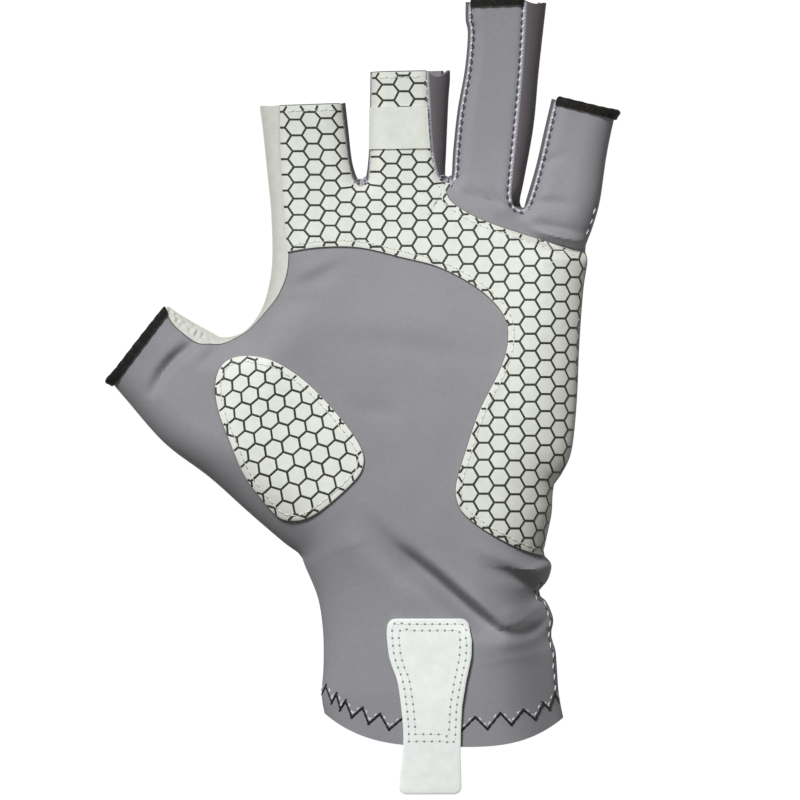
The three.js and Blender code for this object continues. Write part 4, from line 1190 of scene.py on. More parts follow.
@dataclass(frozen=True)
class Stitch:
    """One kind of short thread, laid straight through its place."""

    length: float
    width: float
    height: float
    lift: float  # height of its middle over the face
    slant: float = 0.0  # turn to the left of its line, in degrees
    aside: float = 0.0  # step to the left of it

    def laid(self, face: Face, places: Array) -> Shape:
        """Lays a thread at every place.

        Args:
            face: the face that it lies on.
            places: rows of x, y and the way.

        Returns:
            Points and faces.
        """
        way = places[:, 2:]
        left = left_of(way)
        angle = math.radians(self.slant)
        turned = way * math.cos(angle) + left * math.sin(angle)
        steps = np.linspace(-0.5, 0.5, len(THREAD_TAPER))[None, :, None] * self.length
        points, normals = face((places[:, :2] + left * self.aside)[:, None] + steps * turned[:, None])
        section = round_section(self.width, self.height)
        return strands(points + normals * self.lift, normals, section, THREAD_TAPER)


@dataclass
class FabricPanels(OnForm):
    """The palm, the back and the turned-in hem, all of grey stretch fabric."""

    thickness: float = 1.0
    back_seam: float = 2.2  # under the outline
    back_tip: float = 1.8  # how much sooner the back ends at the ring finger
    hem_gap: float = 0.45
    hem_depths: Span = (0.8, 14.0)  # from the cuff's edge to its inner end
    hem_rows: int = 12

    def palm_plan(self) -> PanelPlan:
        """The palm's plan, fine enough for its folds."""
        return PanelPlan(
            self.form,
            seam=seam_depth,
            columns=38,
            trunk_rows=(84, 64, 64),
            finger_rows=(24, 32, 48, 34),
            thumb_rows=72,
            bow=9.6,
        )

    def back_plan(self) -> PanelPlan:
        """The back's plan, coarser because it lies flat."""
        return PanelPlan(
            self.form,
            seam=lambda rows: np.where(rows[:, SEAM] > 0, self.back_seam, 0.0),
            columns=14,
            trunk_rows=(30, 30, 20),
            finger_rows=(14, 18, 28, 16),
            thumb_rows=24,
            bow=8.0,
            short_ring=self.back_tip,
        )

    def hem(self) -> Shape:
        """The hem's ring: second layers of the palm and the back, inside the wrist.

        Returns:
            Points and faces.
        """
        rings = []
        steps = np.linspace(*self.hem_depths, self.hem_rows)
        for plan, face in ((self.palm_plan(), self.form.top), (self.back_plan(), self.form.back)):
            trunk = plan.trunk()
            place = steps * plan.trunk_rows[0] / (ROW_TILT[1, 0] - ROW_TILT[0, 0])
            row = place.astype(int)
            share = (place - row)[:, None, None]
            points, normals = face(trunk[row] * (1 - share) + trunk[row + 1] * share)
            outer = points - normals * (self.thickness + self.hem_gap)
            inner = points - normals * (2 * self.thickness + self.hem_gap)
            rings.append(np.concatenate([outer, inner[::-1]]))
        ring = np.concatenate([rings[0], rings[1][:, ::-1]], axis=1)
        number = np.pad(numbered(ring), ((0, 1), (0, 1)), mode="wrap")
        return ring.reshape(-1, 3), [grid_faces(number)]

    def build(self, bench: Workbench) -> None:
        """Makes the three pieces."""
        palm = Sewn.laid(self.form.top, self.palm_plan().grids().values())
        back = Sewn.laid(self.form.back, self.back_plan().grids().values())
        bench.piece("palm_fabric", palm.solid(-self.thickness, 0.0), GREY_KNIT, "palm_panel")
        bench.piece("back_fabric", back.solid(-self.thickness, 0.0, True), GREY_KNIT, "back_panel")
        bench.piece("cuff_hem_fabric", self.hem(), GREY_KNIT, "cuff_hem")


@dataclass
class SideWalls(OnForm):
    """The narrow side pieces of the fingers, and the suede strip from the index finger to the thumb."""

    thickness: float = 1.0
    back_seam: float = 2.2  # under the outline
    gap: float = 0.12
    over_steps: int = 11  # points from the palm's seam to the outline
    under_steps: int = 9  # and from there to the back's seam
    crowding: float = 1.6  # of both at the outline
    dip_reach: float = 9.0  # from a piece's two ends
    creases: float = 0.32  # their depth, on the strip
    # The creases set in from the first to the second of these distances.
    creased_from: Span = (76.0, 92.0)
    stations: int = 220

    def creased(self, points: Array, run: Array) -> Array:
        """Depth of the strip's creases: two crossing waves about 2 mm long, each bent by a slower one.

        Args:
            points: the strip's points.
            run: distance of each station from the strip's end at the index finger.

        Returns:
            The depth at each point.
        """
        x, y = points[..., 0], points[..., 1]
        rising = np.sin(3.1 * x + 1.3 * y + 1.5 * np.sin(1.1 * y))
        falling = np.sin(2.2 * y - 1.7 * x + np.sin(0.9 * x))
        return self.creases * (rising + falling) * soft_step(*self.creased_from, run)[:, None]

    def sewn(self, side: Side, dips: Span) -> Sewn:
        """One side piece: its section goes from the palm's seam over the outline to the back's seam.

        Args:
            side: the outline's side that it follows.
            dips: how far its first and its last end dip between its seams.

        Returns:
            The piece's cloth.
        """
        rows = resampled(self.form.sides[side], np.linspace(0.0, 1.0, self.stations + 1))
        over = (np.linspace(1.0, 0.0, self.over_steps) ** self.crowding)[None, :]
        under = (np.linspace(0.0, 1.0, self.under_steps)[1:] ** self.crowding)[None, :]
        front = over * (rows[:, SEAM, None] - self.gap / 2)
        rear = under * np.full((len(rows), 1), self.back_seam - self.gap / 2)
        top, top_ways = self.form.wall(rows, front, True)
        low, low_ways = self.form.wall(rows, rear, False)
        points, ways = np.concatenate([top, low], axis=1), np.concatenate([top_ways, low_ways], axis=1)
        swell = np.sin(np.pi * np.concatenate([over[0], under[0]]))
        run = run_length(rows)
        if side is Side.INDEX_THUMB:
            points -= ways * (self.creased(points, run) * swell)[..., None]
        for far, first, second, depth in ((run, 0, 1, dips[0]), (run[-1] - run, -1, -2, dips[1])):
            way = unit(rows[second, :2] - rows[first, :2])
            dip = depth * np.clip(1 - far / self.dip_reach, 0.0, 1.0)[:, None] ** 2 * swell
            points[..., :2] += dip[..., None] * way
        cloth = Sewn()
        cloth.add(points, ways)
        return cloth

    def build(self, bench: Workbench) -> None:
        """Makes the four side pieces."""
        # The fingers' side walls take the darker knit, whose colour holds painted shade.
        for side, name, node, finish, dips in (
            (Side.MIDDLE_INDEX, "side_fabric_index_middle", "side_wall_index_middle", SHADED_SIDE_KNIT, (0.3, 0.3)),
            (Side.RING_MIDDLE, "side_fabric_middle_ring", "side_wall_middle_ring", SHADED_SIDE_KNIT, (0.3, 2.2)),
            (Side.LITTLE_RING, "side_fabric_ring_little", "side_wall_ring_little", SHADED_SIDE_KNIT, (0.3, 0.8)),
            # The strip takes the darker suede, whose colour holds painted shade.
            (Side.INDEX_THUMB, "index_thumb_suede", "index_thumb_strip", SHADED_SIDE_SUEDE, (0.2, 0.2)),
        ):
            bench.piece(name, self.sewn(side, dips).solid(-self.thickness, 0.0), finish, node)


@dataclass
class PatchSheet:
    """How a suede patch lies on the palm: thick inside, pressed down and rounded at its edge."""

    gap: float = 0.25
    thickness: float = 0.8
    edge_thickness: float = 0.6  # at the very edge
    edge_width: float = 0.35
    backing_step: float = 0.8

    def offset(self, depth: Array) -> Array:
        """Height of the suede's face over the palm: it nears its full thickness as a falling exponential."""
        short = (self.thickness - self.edge_thickness) * np.exp(-np.maximum(depth, 0.0) / self.edge_width)
        return self.gap + self.thickness - short

    def solid(self, cloth: Sewn, region: Region) -> Shape:
        """The patch as a closed solid over the palm."""
        points, _, _ = cloth.merged()
        return cloth.solid(self.gap, self.offset(region.depth(points[:, :2])))

    def backing(self, region: Region, face: Face) -> Shape:
        """A dark bead which peeps out as a fine line round the patch's cut edge: painted shade for the
        shadow along that edge.

        Args:
            region: the patch's outline.
            face: the face that the patch lies on.

        Returns:
            Points and faces.
        """
        edge = np.vstack([region.edge, region.edge[:1]])
        edge = edge[np.r_[True, np.hypot(*np.diff(edge, axis=0).T) > 1e-6]]
        points, normals = face(spaced(edge, self.backing_step)[None])
        return strands(points, normals, EDGE_SHADE_SECTION)


@dataclass
class Honeycomb(OnForm):
    """Raised dark ribs along the edges of a grid of six-sided cells."""

    sheet: PatchSheet
    region: Region
    margin: float = 0.2  # inside the patch's edge
    shortest: float = 0.35  # ribs under this length are left out
    samples: int = 13  # places at which a rib is tested
    stations: int = 5
    swing: float = 0.06  # share by which the ribs' thickness differs
    swing_turn: float = 12.9898  # from rib to rib

    def clipped(self, ends: Array) -> Array:
        """Cuts each rib to the stretch that lies deeper inside the patch than the margin.

        Args:
            ends: the ribs' two ends, as ribs by 2 by 2.

        Returns:
            The ends of what is left.
        """
        samples = ruled(ends[:, 0], ends[:, 1], np.linspace(0.0, 1.0, self.samples))
        depth = self.region.depth(samples) - self.margin
        is_in = depth > 0
        kept = is_in.any(1)
        samples, depth, is_in = samples[kept], depth[kept], is_in[kept]
        row = np.arange(len(depth))
        limits = []
        for order in (1, -1):
            inside, deep = is_in[:, ::order], depth[:, ::order]
            first = inside.argmax(1)
            before = np.maximum(first - 1, 0)
            a, b = deep[row, before], deep[row, first]
            back = np.where(first > 0, b / np.maximum(b - a, TINY), 0.0)
            limits.append((first - back) / (self.samples - 1))
        low, high = limits[0], 1 - limits[1]
        start, way = samples[:, 0], samples[:, -1] - samples[:, 0]
        cut = np.stack([start + low[:, None] * way, start + high[:, None] * way], axis=1)
        return cut[np.linalg.norm(cut[:, 1] - cut[:, 0], axis=-1) > self.shortest]

    def shape(self, ends: Array) -> Shape:
        """The ribs between the given ends, each a little thicker or thinner than the next."""
        cut = self.clipped(ends)
        plan = ruled(cut[:, 0], cut[:, 1], np.linspace(0.0, 1.0, self.stations))
        points, normals = self.form.top(plan)
        lift = self.sheet.offset(self.region.depth(plan))[..., None]
        scale = np.sin(np.arange(len(cut)) * self.swing_turn)[:, None] * self.swing + 1.0
        return strands(points + normals * lift, normals, RIB_SECTION, scale)


@dataclass
class Patch(OnForm):
    """A suede patch with a bead of painted shade round its edge and its printed ribs, which subclasses
    shape.
    """

    sheet: PatchSheet = field(default_factory=PatchSheet)

    def dressed(
        self, bench: Workbench, name: str, grids: Sequence[Array], region: Region, ribs: Array,
        finish: Finish,
    ) -> None:
        """Makes the suede, the bead of painted shade round its edge, and the ribs.

        Args:
            bench: makes the meshes.
            name: what the pieces' names start with.
            grids: the suede's grids on the plan.
            region: its outline.
            ribs: the ribs' ends.
            finish: the suede's finish.
        """
        cloth = Sewn.laid(self.form.top, grids)
        bench.piece(f"{name}_suede", self.sheet.solid(cloth, region), finish, f"{name}_patch")
        # The dark bead round the patch's edge is painted shade.
        bench.piece(f"{name}_backing", self.sheet.backing(region, self.form.top), SUEDE_EDGE_SHADE)
        comb = Honeycomb(self.form, self.sheet, region)
        bench.piece(f"{name}_honeycomb", comb.shape(ribs), BLACK_PRINT, crease=60.0)


@dataclass
class GripLattice(OnForm):
    """Where the grip patch's cells lie on the plan.

    Columns are evenly spaced along the palm's face, and each starts at its own height.
    """

    pitch: float = 4.9  # of the columns of cells
    middle_column: float = 8.12  # where the length is counted from
    start: float = 20.16  # x of that column
    far: float = 84.0  # x at which the measuring ends
    length: float = 66.0  # of the face, as far as it is measured
    low: float = -60.0  # y between which it is measured
    high: float = 62.0
    step: float = 0.5  # across
    climb: float = 4.0  # along
    finger_row: float = -9.0  # rows past this one are spread
    finger_spread: float = 15.6  # by so many pixels a row
    lean_from: float = 74.0  # y from which columns lean
    leans: Span = (-0.1, -0.04)  # on the index and on the middle finger
    lean_column: float = 4.0  # where the middle finger's begin

    def __post_init__(self) -> None:
        """Measures the face's length from the middle column outwards, at many heights."""
        self._heights = np.arange(self.low, self.high, self.climb)
        spots = np.arange(self.start, self.far, self.step)
        z = self.form.top(np.stack(np.meshgrid(spots, self._heights), axis=-1))[0][..., 2]
        arc = np.hypot(np.diff(z, axis=1), self.step).cumsum(1)
        arc = np.concatenate([np.zeros((len(self._heights), 1)), arc], axis=1)
        even = np.arange(0.0, self.length, self.step)
        self._spots = np.stack([np.interp(even, row, spots) for row in arc])

    def rolled(self, run: Array, y: Array) -> Array:
        """The x that lies a given length along the face, from its four neighbours in the table.

        Args:
            run: the length along the face.
            y: where on the plan.

        Returns:
            The x of each.
        """
        table = self._spots
        at = np.clip(run / self.step, 0, table.shape[1] - 1.001)
        up = np.clip((y - self._heights[0]) / self.climb, 0, len(table) - 1.001)
        i, j = at.astype(int), up.astype(int)
        s, t = at - i, up - j
        lower = table[j, i] * (1 - s) + table[j, i + 1] * s
        upper = table[j + 1, i] * (1 - s) + table[j + 1, i + 1] * s
        return lower * (1 - t) + upper * t

    def place(self, column: Array, side: float, row: Array) -> Array:
        """Places in the grid of cells.

        Args:
            column: number of the column of cells.
            side: a share of a column to its side.
            row: number of the row of cells.

        Returns:
            Plan points.
        """
        down = np.interp(column, *GRIP_FIRSTS.T) + np.interp(row, *GRIP_FALLS.T)
        down += np.where(row < self.finger_row, (row - self.finger_row) * self.finger_spread, 0.0)
        down += np.interp(column, *GRIP_FINGER_SHIFTS.T) * soft_step(0.0, -4.0, row)
        y = (ORIGIN_PIXEL[1] - down) * PIXEL
        run = (column + side - self.middle_column) * self.pitch
        x = np.where(run > 0, self.rolled(run, y), self.start + run)
        lean = np.where(column + side < self.lean_column, *self.leans) * np.maximum(y - self.lean_from, 0.0)
        return np.stack([x + lean, y], axis=-1)

    def ribs(self) -> Array:
        """The two ends of every rib: one flat and two slanting ribs for each cell."""
        columns, halves = np.meshgrid(np.arange(-2, 21), np.arange(-26, 46))
        keep = (columns + halves) % 2 == 0
        column, row = columns[keep].astype(float), halves[keep] / 2
        corner = (column, 1 / 3, row)
        ends = [
            ((column, -1 / 3, row), corner),
            (corner, (column + 1, -1 / 3, row + 0.5)),
            (corner, (column + 1, -1 / 3, row - 0.5)),
        ]
        return np.concatenate([np.stack([self.place(*a), self.place(*b)], axis=1) for a, b in ends])


@dataclass
class GripPatch(Patch):
    """The suede patch on the index and middle finger and down the little finger's side."""

    palm: PanelPlan = field(kw_only=True)
    tip_inset: float = 0.35
    edge_inset: float = 1.1  # at the little finger's side
    edge_span: Span = (-50.9, 45.6)  # y between which it is so
    edge_rows: int = 90
    free_rows: int = 149  # before the fingers begin
    columns: int = 26  # from the outer to the lower edge
    crowding: float = 0.6  # of the columns at both edges
    # Its lower edge.
    lower_edge: Array = field(default_factory=lambda: smooth_curve(GRIP_LOWER_EDGE, 6))
    # Its edge under the ring and the little finger.
    upper_edge: Array = field(default_factory=lambda: smooth_curve(GRIP_UPPER_EDGE, 8))

    def outer_edge(self) -> Array:
        """Its outer edge, from the ulnar outline over the upper edge to the index finger's base."""
        rows = at_height(self.form.sides[Side.ULNAR], np.linspace(*self.edge_span, self.edge_rows))
        fingers = self.palm.top_row()[: 2 * self.palm.columns + 1][::-1]
        return np.vstack([rows[:, :2] + self.edge_inset * rows[:, IN_X:], self.upper_edge[1:], fingers])

    def body(self) -> Array:
        """The palm's share: straight rulings between the lower and the outer edge, matched by links."""
        lower, outer = self.lower_edge, self.outer_edge()
        fingers = 2 * self.palm.columns
        runs, matches = [], []
        for curve, link in ((lower, GRIP_LINKS[:, :2]), (outer, GRIP_LINKS[:, 2:])):
            run = run_length(curve)
            number, share, _ = foot_on_lines(link, curve[:-1], np.diff(curve, axis=0))
            runs.append(run)
            matches.append(run[number] + share * np.diff(run)[number])
        free = np.linspace(0.0, runs[1][-fingers - 1], self.free_rows + 1)[:-1]
        places = np.concatenate([free, runs[1][-fingers - 1 :]])
        across = np.interp(places, matches[1], matches[0])
        far = np.stack([np.interp(places, runs[1], column) for column in outer.T], axis=-1)
        near = np.stack([np.interp(across, runs[0], column) for column in lower.T], axis=-1)
        return ruled(far, near, crowded(self.columns, self.crowding))

    def fingers(self, body: Array) -> list[Array]:
        """The index and middle fingers' shares, on the body's own base points."""
        grids = []
        for digit, first in ((Digit.INDEX, 0), (Digit.MIDDLE, self.palm.columns)):
            base = body[::-1, 0][first : first + self.palm.columns + 1]
            grid = self.palm.sleeve(self.palm.sides_of(digit), base, self.palm.finger_rows[digit.value])
            whole = np.linalg.norm(grid[-1] - grid[0], axis=-1)[:, None]
            grids.append(grid[:1] + (grid - grid[:1]) * (1 - self.tip_inset / whole))
        return grids

    def region(self, body: Array, fingers: Sequence[Array]) -> Region:
        """The patch's outline, once round it."""
        sleeves = [part for grid in fingers for part in (grid[:, 0], grid[-1], grid[::-1, -1])]
        free = len(body) - 2 * self.palm.columns
        return Region(np.vstack([body[:, -1], *sleeves, body[:free, 0][::-1]]))

    def build(self, bench: Workbench) -> tuple[Region, list[Array]]:
        """Makes the patch and its ribs, and gives its outline and the parts of it that stitches follow."""
        body = self.body()
        fingers = self.fingers(body)
        region = self.region(body, fingers)
        grids = [body.transpose(1, 0, 2), *fingers]
        self.dressed(bench, "grip", grids, region, GripLattice(self.form).ribs(), OFF_WHITE_SUEDE)
        return region, [self.lower_edge, self.upper_edge] + [grid[-1] for grid in fingers]


@dataclass
class ThenarPatch(Patch):
    """The round suede patch at the root of the thumb."""

    centre: Span = (-22.0, -13.0)
    steps: int = 64  # each way
    samples: int = 8  # from row to row of its outline's table

    def edge(self) -> Array:
        """Its closed outline."""
        ring = np.vstack([THENAR_EDGE[-2:], THENAR_EDGE, THENAR_EDGE[:2]])
        return smooth_curve(ring, self.samples)[2 * self.samples : -2 * self.samples - 1]

    def grid(self) -> Array:
        """A square grid drawn out into a disc, then out to the outline along each ray."""
        edge = self.edge()
        centre = np.array(self.centre)
        turn = np.arctan2(*(edge - centre).T[::-1]) % (2 * np.pi)
        order = np.argsort(turn)
        angles, radii = turn[order], np.hypot(*(edge - centre).T)[order]
        side = np.sin(np.linspace(-0.5, 0.5, self.steps + 1) * np.pi)
        u, v = np.meshgrid(side, side)
        a, b = u * np.sqrt(1 - v**2 / 2), v * np.sqrt(1 - u**2 / 2)
        reach = np.interp(np.arctan2(b, a) % (2 * np.pi), angles, radii, period=2 * np.pi)
        return centre + np.stack([a, b], axis=-1) * reach[..., None]

    @staticmethod
    def place(n: Array, m: Array) -> Array:
        """Plan points of cells: so many steps along two slanting ways, the second bent and sheared."""
        both = [at + a * n + b * m + c * m**2 + d * n * m for at, a, b, c, d in (THENAR_X, THENAR_Y)]
        return np.stack(both, axis=-1)

    def ribs(self) -> Array:
        """The two ends of every rib, from the centres of the cells and the corners around them."""
        n, m = (grid.ravel().astype(float) for grid in np.meshgrid(np.arange(-9, 14), np.arange(-6, 15)))
        corners = np.array([(1, 1), (-1, 2), (-2, 1), (-1, -1)]) / 3
        rings = [self.place(n + aside, m + ahead) for aside, ahead in corners]
        return np.concatenate([np.stack(pair, axis=1) for pair in zip(rings[:-1], rings[1:])])

    def build(self, bench: Workbench) -> tuple[Region, list[Array]]:
        """Makes the patch and its ribs, and gives its outline and the closed line that stitches follow."""
        region = Region(self.edge())
        self.dressed(bench, "thenar", [self.grid()], region, self.ribs(), THENAR_SUEDE)
        return region, [np.vstack([region.edge, region.edge[:1]])]


@dataclass
class FingerBand(OnForm):
    """The plain suede band sewn across the middle finger, over the grip patch."""

    palm: PanelPlan
    low: float = 79.0
    high: float = 92.3
    under: float = 1.2  # its underside's height
    thickness: float = 0.5
    rows: int = 20
    columns: int = 30

    def build(self, bench: Workbench) -> None:
        """Makes the band."""
        heights = self.low + crowded(self.rows, 0.7) * (self.high - self.low)
        a, b = (self.palm.edge(at_height(side, heights)) for side in self.palm.sides_of(Digit.MIDDLE))
        cloth = Sewn.laid(self.form.top, [ruled(a, b, crowded(self.columns, 0.8))])
        shape = cloth.solid(self.under, self.under + self.thickness)
        bench.piece("middle_band_suede", shape, OFF_WHITE_SUEDE, "middle_finger_band")


@dataclass(frozen=True)
class Stretch:
    """One panel's share of a finger hole's edge: plan points, the ways in, and the panel's face."""

    edge: Array
    way: Array
    face: Face


@dataclass
class ElasticTrims(OnForm):
    """The black elastic folded over the edges of the ring finger's, little finger's and thumb's holes."""

    palm: PanelPlan
    back: PanelPlan
    length: float = 1.75  # down the finger
    gap: float = 0.2
    thickness: float = 0.55
    fabric: float = 1.0  # thickness of the edge inside it
    fold_gap: float = 0.35  # from that edge to its straight legs
    bend_steps: int = 9
    leg_steps: int = 4
    stations: int = 61  # along a panel's share of the edge
    flare: float = 1.4  # how far it stands out at its turn to the back
    flare_reach: float = 2.0
    flare_back: int = 11  # stations back to where its way is taken from
    flare_up: float = 0.7  # its lean towards the fingertip
    # Rise and length of each of the weave's two waves.
    ripples: tuple[Span, Span] = ((0.05, 1.1), (0.06, 4.1))

    def section(self) -> Array:
        """The folded section, as depths in from the edge and heights over the fabric's face.

        Returns:
            The section's corners, in order round it.
        """
        middle = -self.fabric / 2
        inner = self.fabric / 2 + self.gap
        turn = np.linspace(0.5, 1.5, self.bend_steps) * np.pi
        ways = np.column_stack([np.cos(turn), np.sin(turn)])
        legs = np.linspace(self.length, self.fold_gap, self.leg_steps + 1)[:-1]
        sheets = []
        for radius in (inner + self.thickness, inner):
            bend = ways * radius + (0.0, middle)
            face = np.column_stack([legs, np.full(len(legs), middle + radius)])
            hidden = np.column_stack([legs[::-1], np.full(len(legs), middle - radius)])
            sheets.append(np.vstack([face, bend, hidden]))
        return np.vstack([sheets[0], sheets[1][::-1]])

    def stretch(self, name: str, is_back: bool) -> Stretch:
        """One panel's share of a hole's edge.

        Args:
            name: of the finger's grid.
            is_back: whether it is the back's share, which runs the other way.

        Returns:
            The share.
        """
        grid = (self.back if is_back else self.palm).grids()[name]
        rows = np.hstack([grid[-1], unit(grid[-2] - grid[-1])])
        both = resampled(rows, np.linspace(0.0, 1.0, self.stations))[:: -1 if is_back else 1]
        return Stretch(both[:, :2], both[:, 2:], self.form.back if is_back else self.form.top)

    def flared(self, ring: Array, depth: Array, first: Stretch) -> Array:
        """How far the elastic stands out on the plan round the turn between the two panels.

        Args:
            ring: its points, as corners by places along the edge.
            depth: each corner's depth in from the edge.
            first: the first panel's share.

        Returns:
            The step at each point, which fades as a falling exponential.
        """
        turn = first.edge[-1]
        out = unit(unit(turn - first.edge[-1 - self.flare_back]) - self.flare_up * first.way[-1])
        near = np.exp(-np.linalg.norm(ring[..., :2] - turn, axis=-1) / self.flare_reach)
        near *= np.clip(1 - depth / self.length, 0.0, 1.0)
        return self.flare * near[..., None] * out

    def carried(self, stretches: Sequence[Stretch]) -> Shape:
        """Carries the section along a hole's edge, with the weave's small ribs across it.

        Args:
            stretches: the share of each panel.

        Returns:
            Points and faces.
        """
        section = self.section()
        depth = section[:, :1, None]
        rings = []
        for part in stretches:
            points, normals = part.face(part.edge[None] + part.way[None] * np.maximum(depth, 0.05))
            points[..., :2] += part.way[None] * np.minimum(depth, 0.0)
            rings.append(points + normals * section[:, 1:, None])
        ring = np.concatenate(rings, axis=1)
        if len(stretches) > 1:
            ring[..., :2] += self.flared(ring, section[:, :1], stretches[0])
        run = np.concatenate([[0.0], np.linalg.norm(np.diff(ring[4], axis=0), axis=-1).cumsum()])
        ripple = sum(
            rise * np.sin(run * 2 * np.pi / length + lag) for lag, (rise, length) in enumerate(self.ripples)
        )
        ring = ring + unit(ring - ring.mean(0, keepdims=True)) * ripple[None, :, None]
        number = numbered(ring)
        faces = grid_faces(np.pad(number, ((0, 1), (0, 0)), mode="wrap"))
        a = np.arange(len(section) // 2 - 1)
        strip = np.stack([a, a + 1, len(section) - 2 - a, len(section) - 1 - a], axis=-1)
        return ring.reshape(-1, 3), [np.vstack([faces, number[:, 0][strip], number[:, -1][strip[:, ::-1]]])]

    def build(self, bench: Workbench) -> None:
        """Makes the four lengths of elastic."""
        for name, node, grid, are_back in (
            ("ring_elastic", "ring_finger_trim", "RING", (False,)),
            ("ring_back_elastic", "ring_finger_back_trim", "RING", (True,)),
            ("little_elastic", "little_finger_trim", "LITTLE", (False, True)),
            ("thumb_elastic", "thumb_trim", "THUMB", (True, False)),
        ):
            shape = self.carried([self.stretch(grid, is_back) for is_back in are_back])
            bench.piece(name, shape, BLACK_ELASTIC, node)


@dataclass
class PullTab(OnForm):
    """The suede tab sewn to the front of the wrist, with its two rows of stitches."""

    gap: float = 0.45
    thickness: float = 1.2
    edge_press: float = 0.25  # how much thinner it is there
    edge_width: float = 0.3
    corner: float = 2.4
    flat_from: float = -109.0  # it runs on straight past this line
    row_insets: Span = (1.75, 3.8)  # of its two rows of stitches
    row_ends: Span = (-110.1, -107.8)  # y where each crosses the tab
    pitch: float = 2.36  # from stitch to stitch
    rows: int = 90
    columns: int = 36

    def sides(self, heights: Array) -> Pair:
        """Plan points of the left and the right edge at given heights, with rounded corners.

        Args:
            heights: from the tab's lower end up.

        Returns:
            The two edges' points, drawn in at each corner by what a quarter circle leaves free.
        """
        curve = smooth_curve(TAB_SIDES[::-1, [1, 0]], 6)
        left = np.interp(heights, curve[:, Y], curve[:, X])
        right = np.interp(heights, *TAB_SIDES[::-1, [0, 2]].T)
        inset = np.zeros(len(heights))
        for end in (TAB_SIDES[0, 0], TAB_SIDES[-1, 0]):
            short = np.clip(self.corner - np.abs(heights - end), 0.0, self.corner)
            inset += self.corner - np.sqrt(self.corner**2 - short**2)
        return np.column_stack([left + inset, heights]), np.column_stack([right - inset, heights])

    def heights(self, steps: int, crowding: float) -> Array:
        """Heights from the tab's lower end to its upper one, which crowd at both."""
        low, high = TAB_SIDES[-1, 0], TAB_SIDES[0, 0]
        return low + crowded(steps, crowding) * (high - low)

    def face(self, plan: Array) -> Pair:
        """The palm's face under the tab, carried straight on past the cuff.

        Args:
            plan: points, with x and y last.

        Returns:
            Points in space, and the face's way there.
        """
        held = plan.copy()
        held[..., 1] = np.maximum(held[..., 1], self.flat_from)
        points, normals = self.form.top(held)
        points[..., 1] = plan[..., 1]
        return points, normals

    def stitch_rows(self) -> Array:
        """Places of the stitches in the two closed rows."""
        found = []
        for inset, end in zip(self.row_insets, self.row_ends):
            left, right = self.sides(np.linspace(end, TAB_SIDES[0, 0] - inset, 60))
            edge = np.vstack([left + (inset, 0), right[::-1] - (inset, 0)])
            found.append(sewing(np.vstack([edge, edge[:1]]), self.pitch))
        return np.vstack(found)

    def build(self, bench: Workbench) -> None:
        """Makes the tab, its stitches, and grey dots of painted shade in their needle holes."""
        left, right = self.sides(self.heights(80, 0.9))
        region = Region(np.vstack([right, left[::-1]]))
        left, right = self.sides(self.heights(self.rows, 0.7))
        cloth = Sewn.laid(self.face, [ruled(left, right, crowded(self.columns, 0.8))])
        sheet = PatchSheet(self.gap, self.thickness, self.thickness - self.edge_press, self.edge_width)
        bench.piece("pull_tab_suede", sheet.solid(cloth, region), TAB_SUEDE, "pull_tab")
        rows = self.stitch_rows()
        level = self.gap + self.thickness
        thread = Stitch(length=1.3, width=0.36, height=0.22, lift=level - 0.02)
        # Grey dots of painted shade in the needle holes.
        hole = Stitch(length=0.8, width=0.7, height=0.16, lift=level)
        bench.piece("tab_stitches", thread.laid(self.face, rows), SUEDE_THREAD)
        bench.piece("tab_needle_holes", hole.laid(self.face, between(rows, self.pitch)), NEEDLE_HOLE_SHADE)


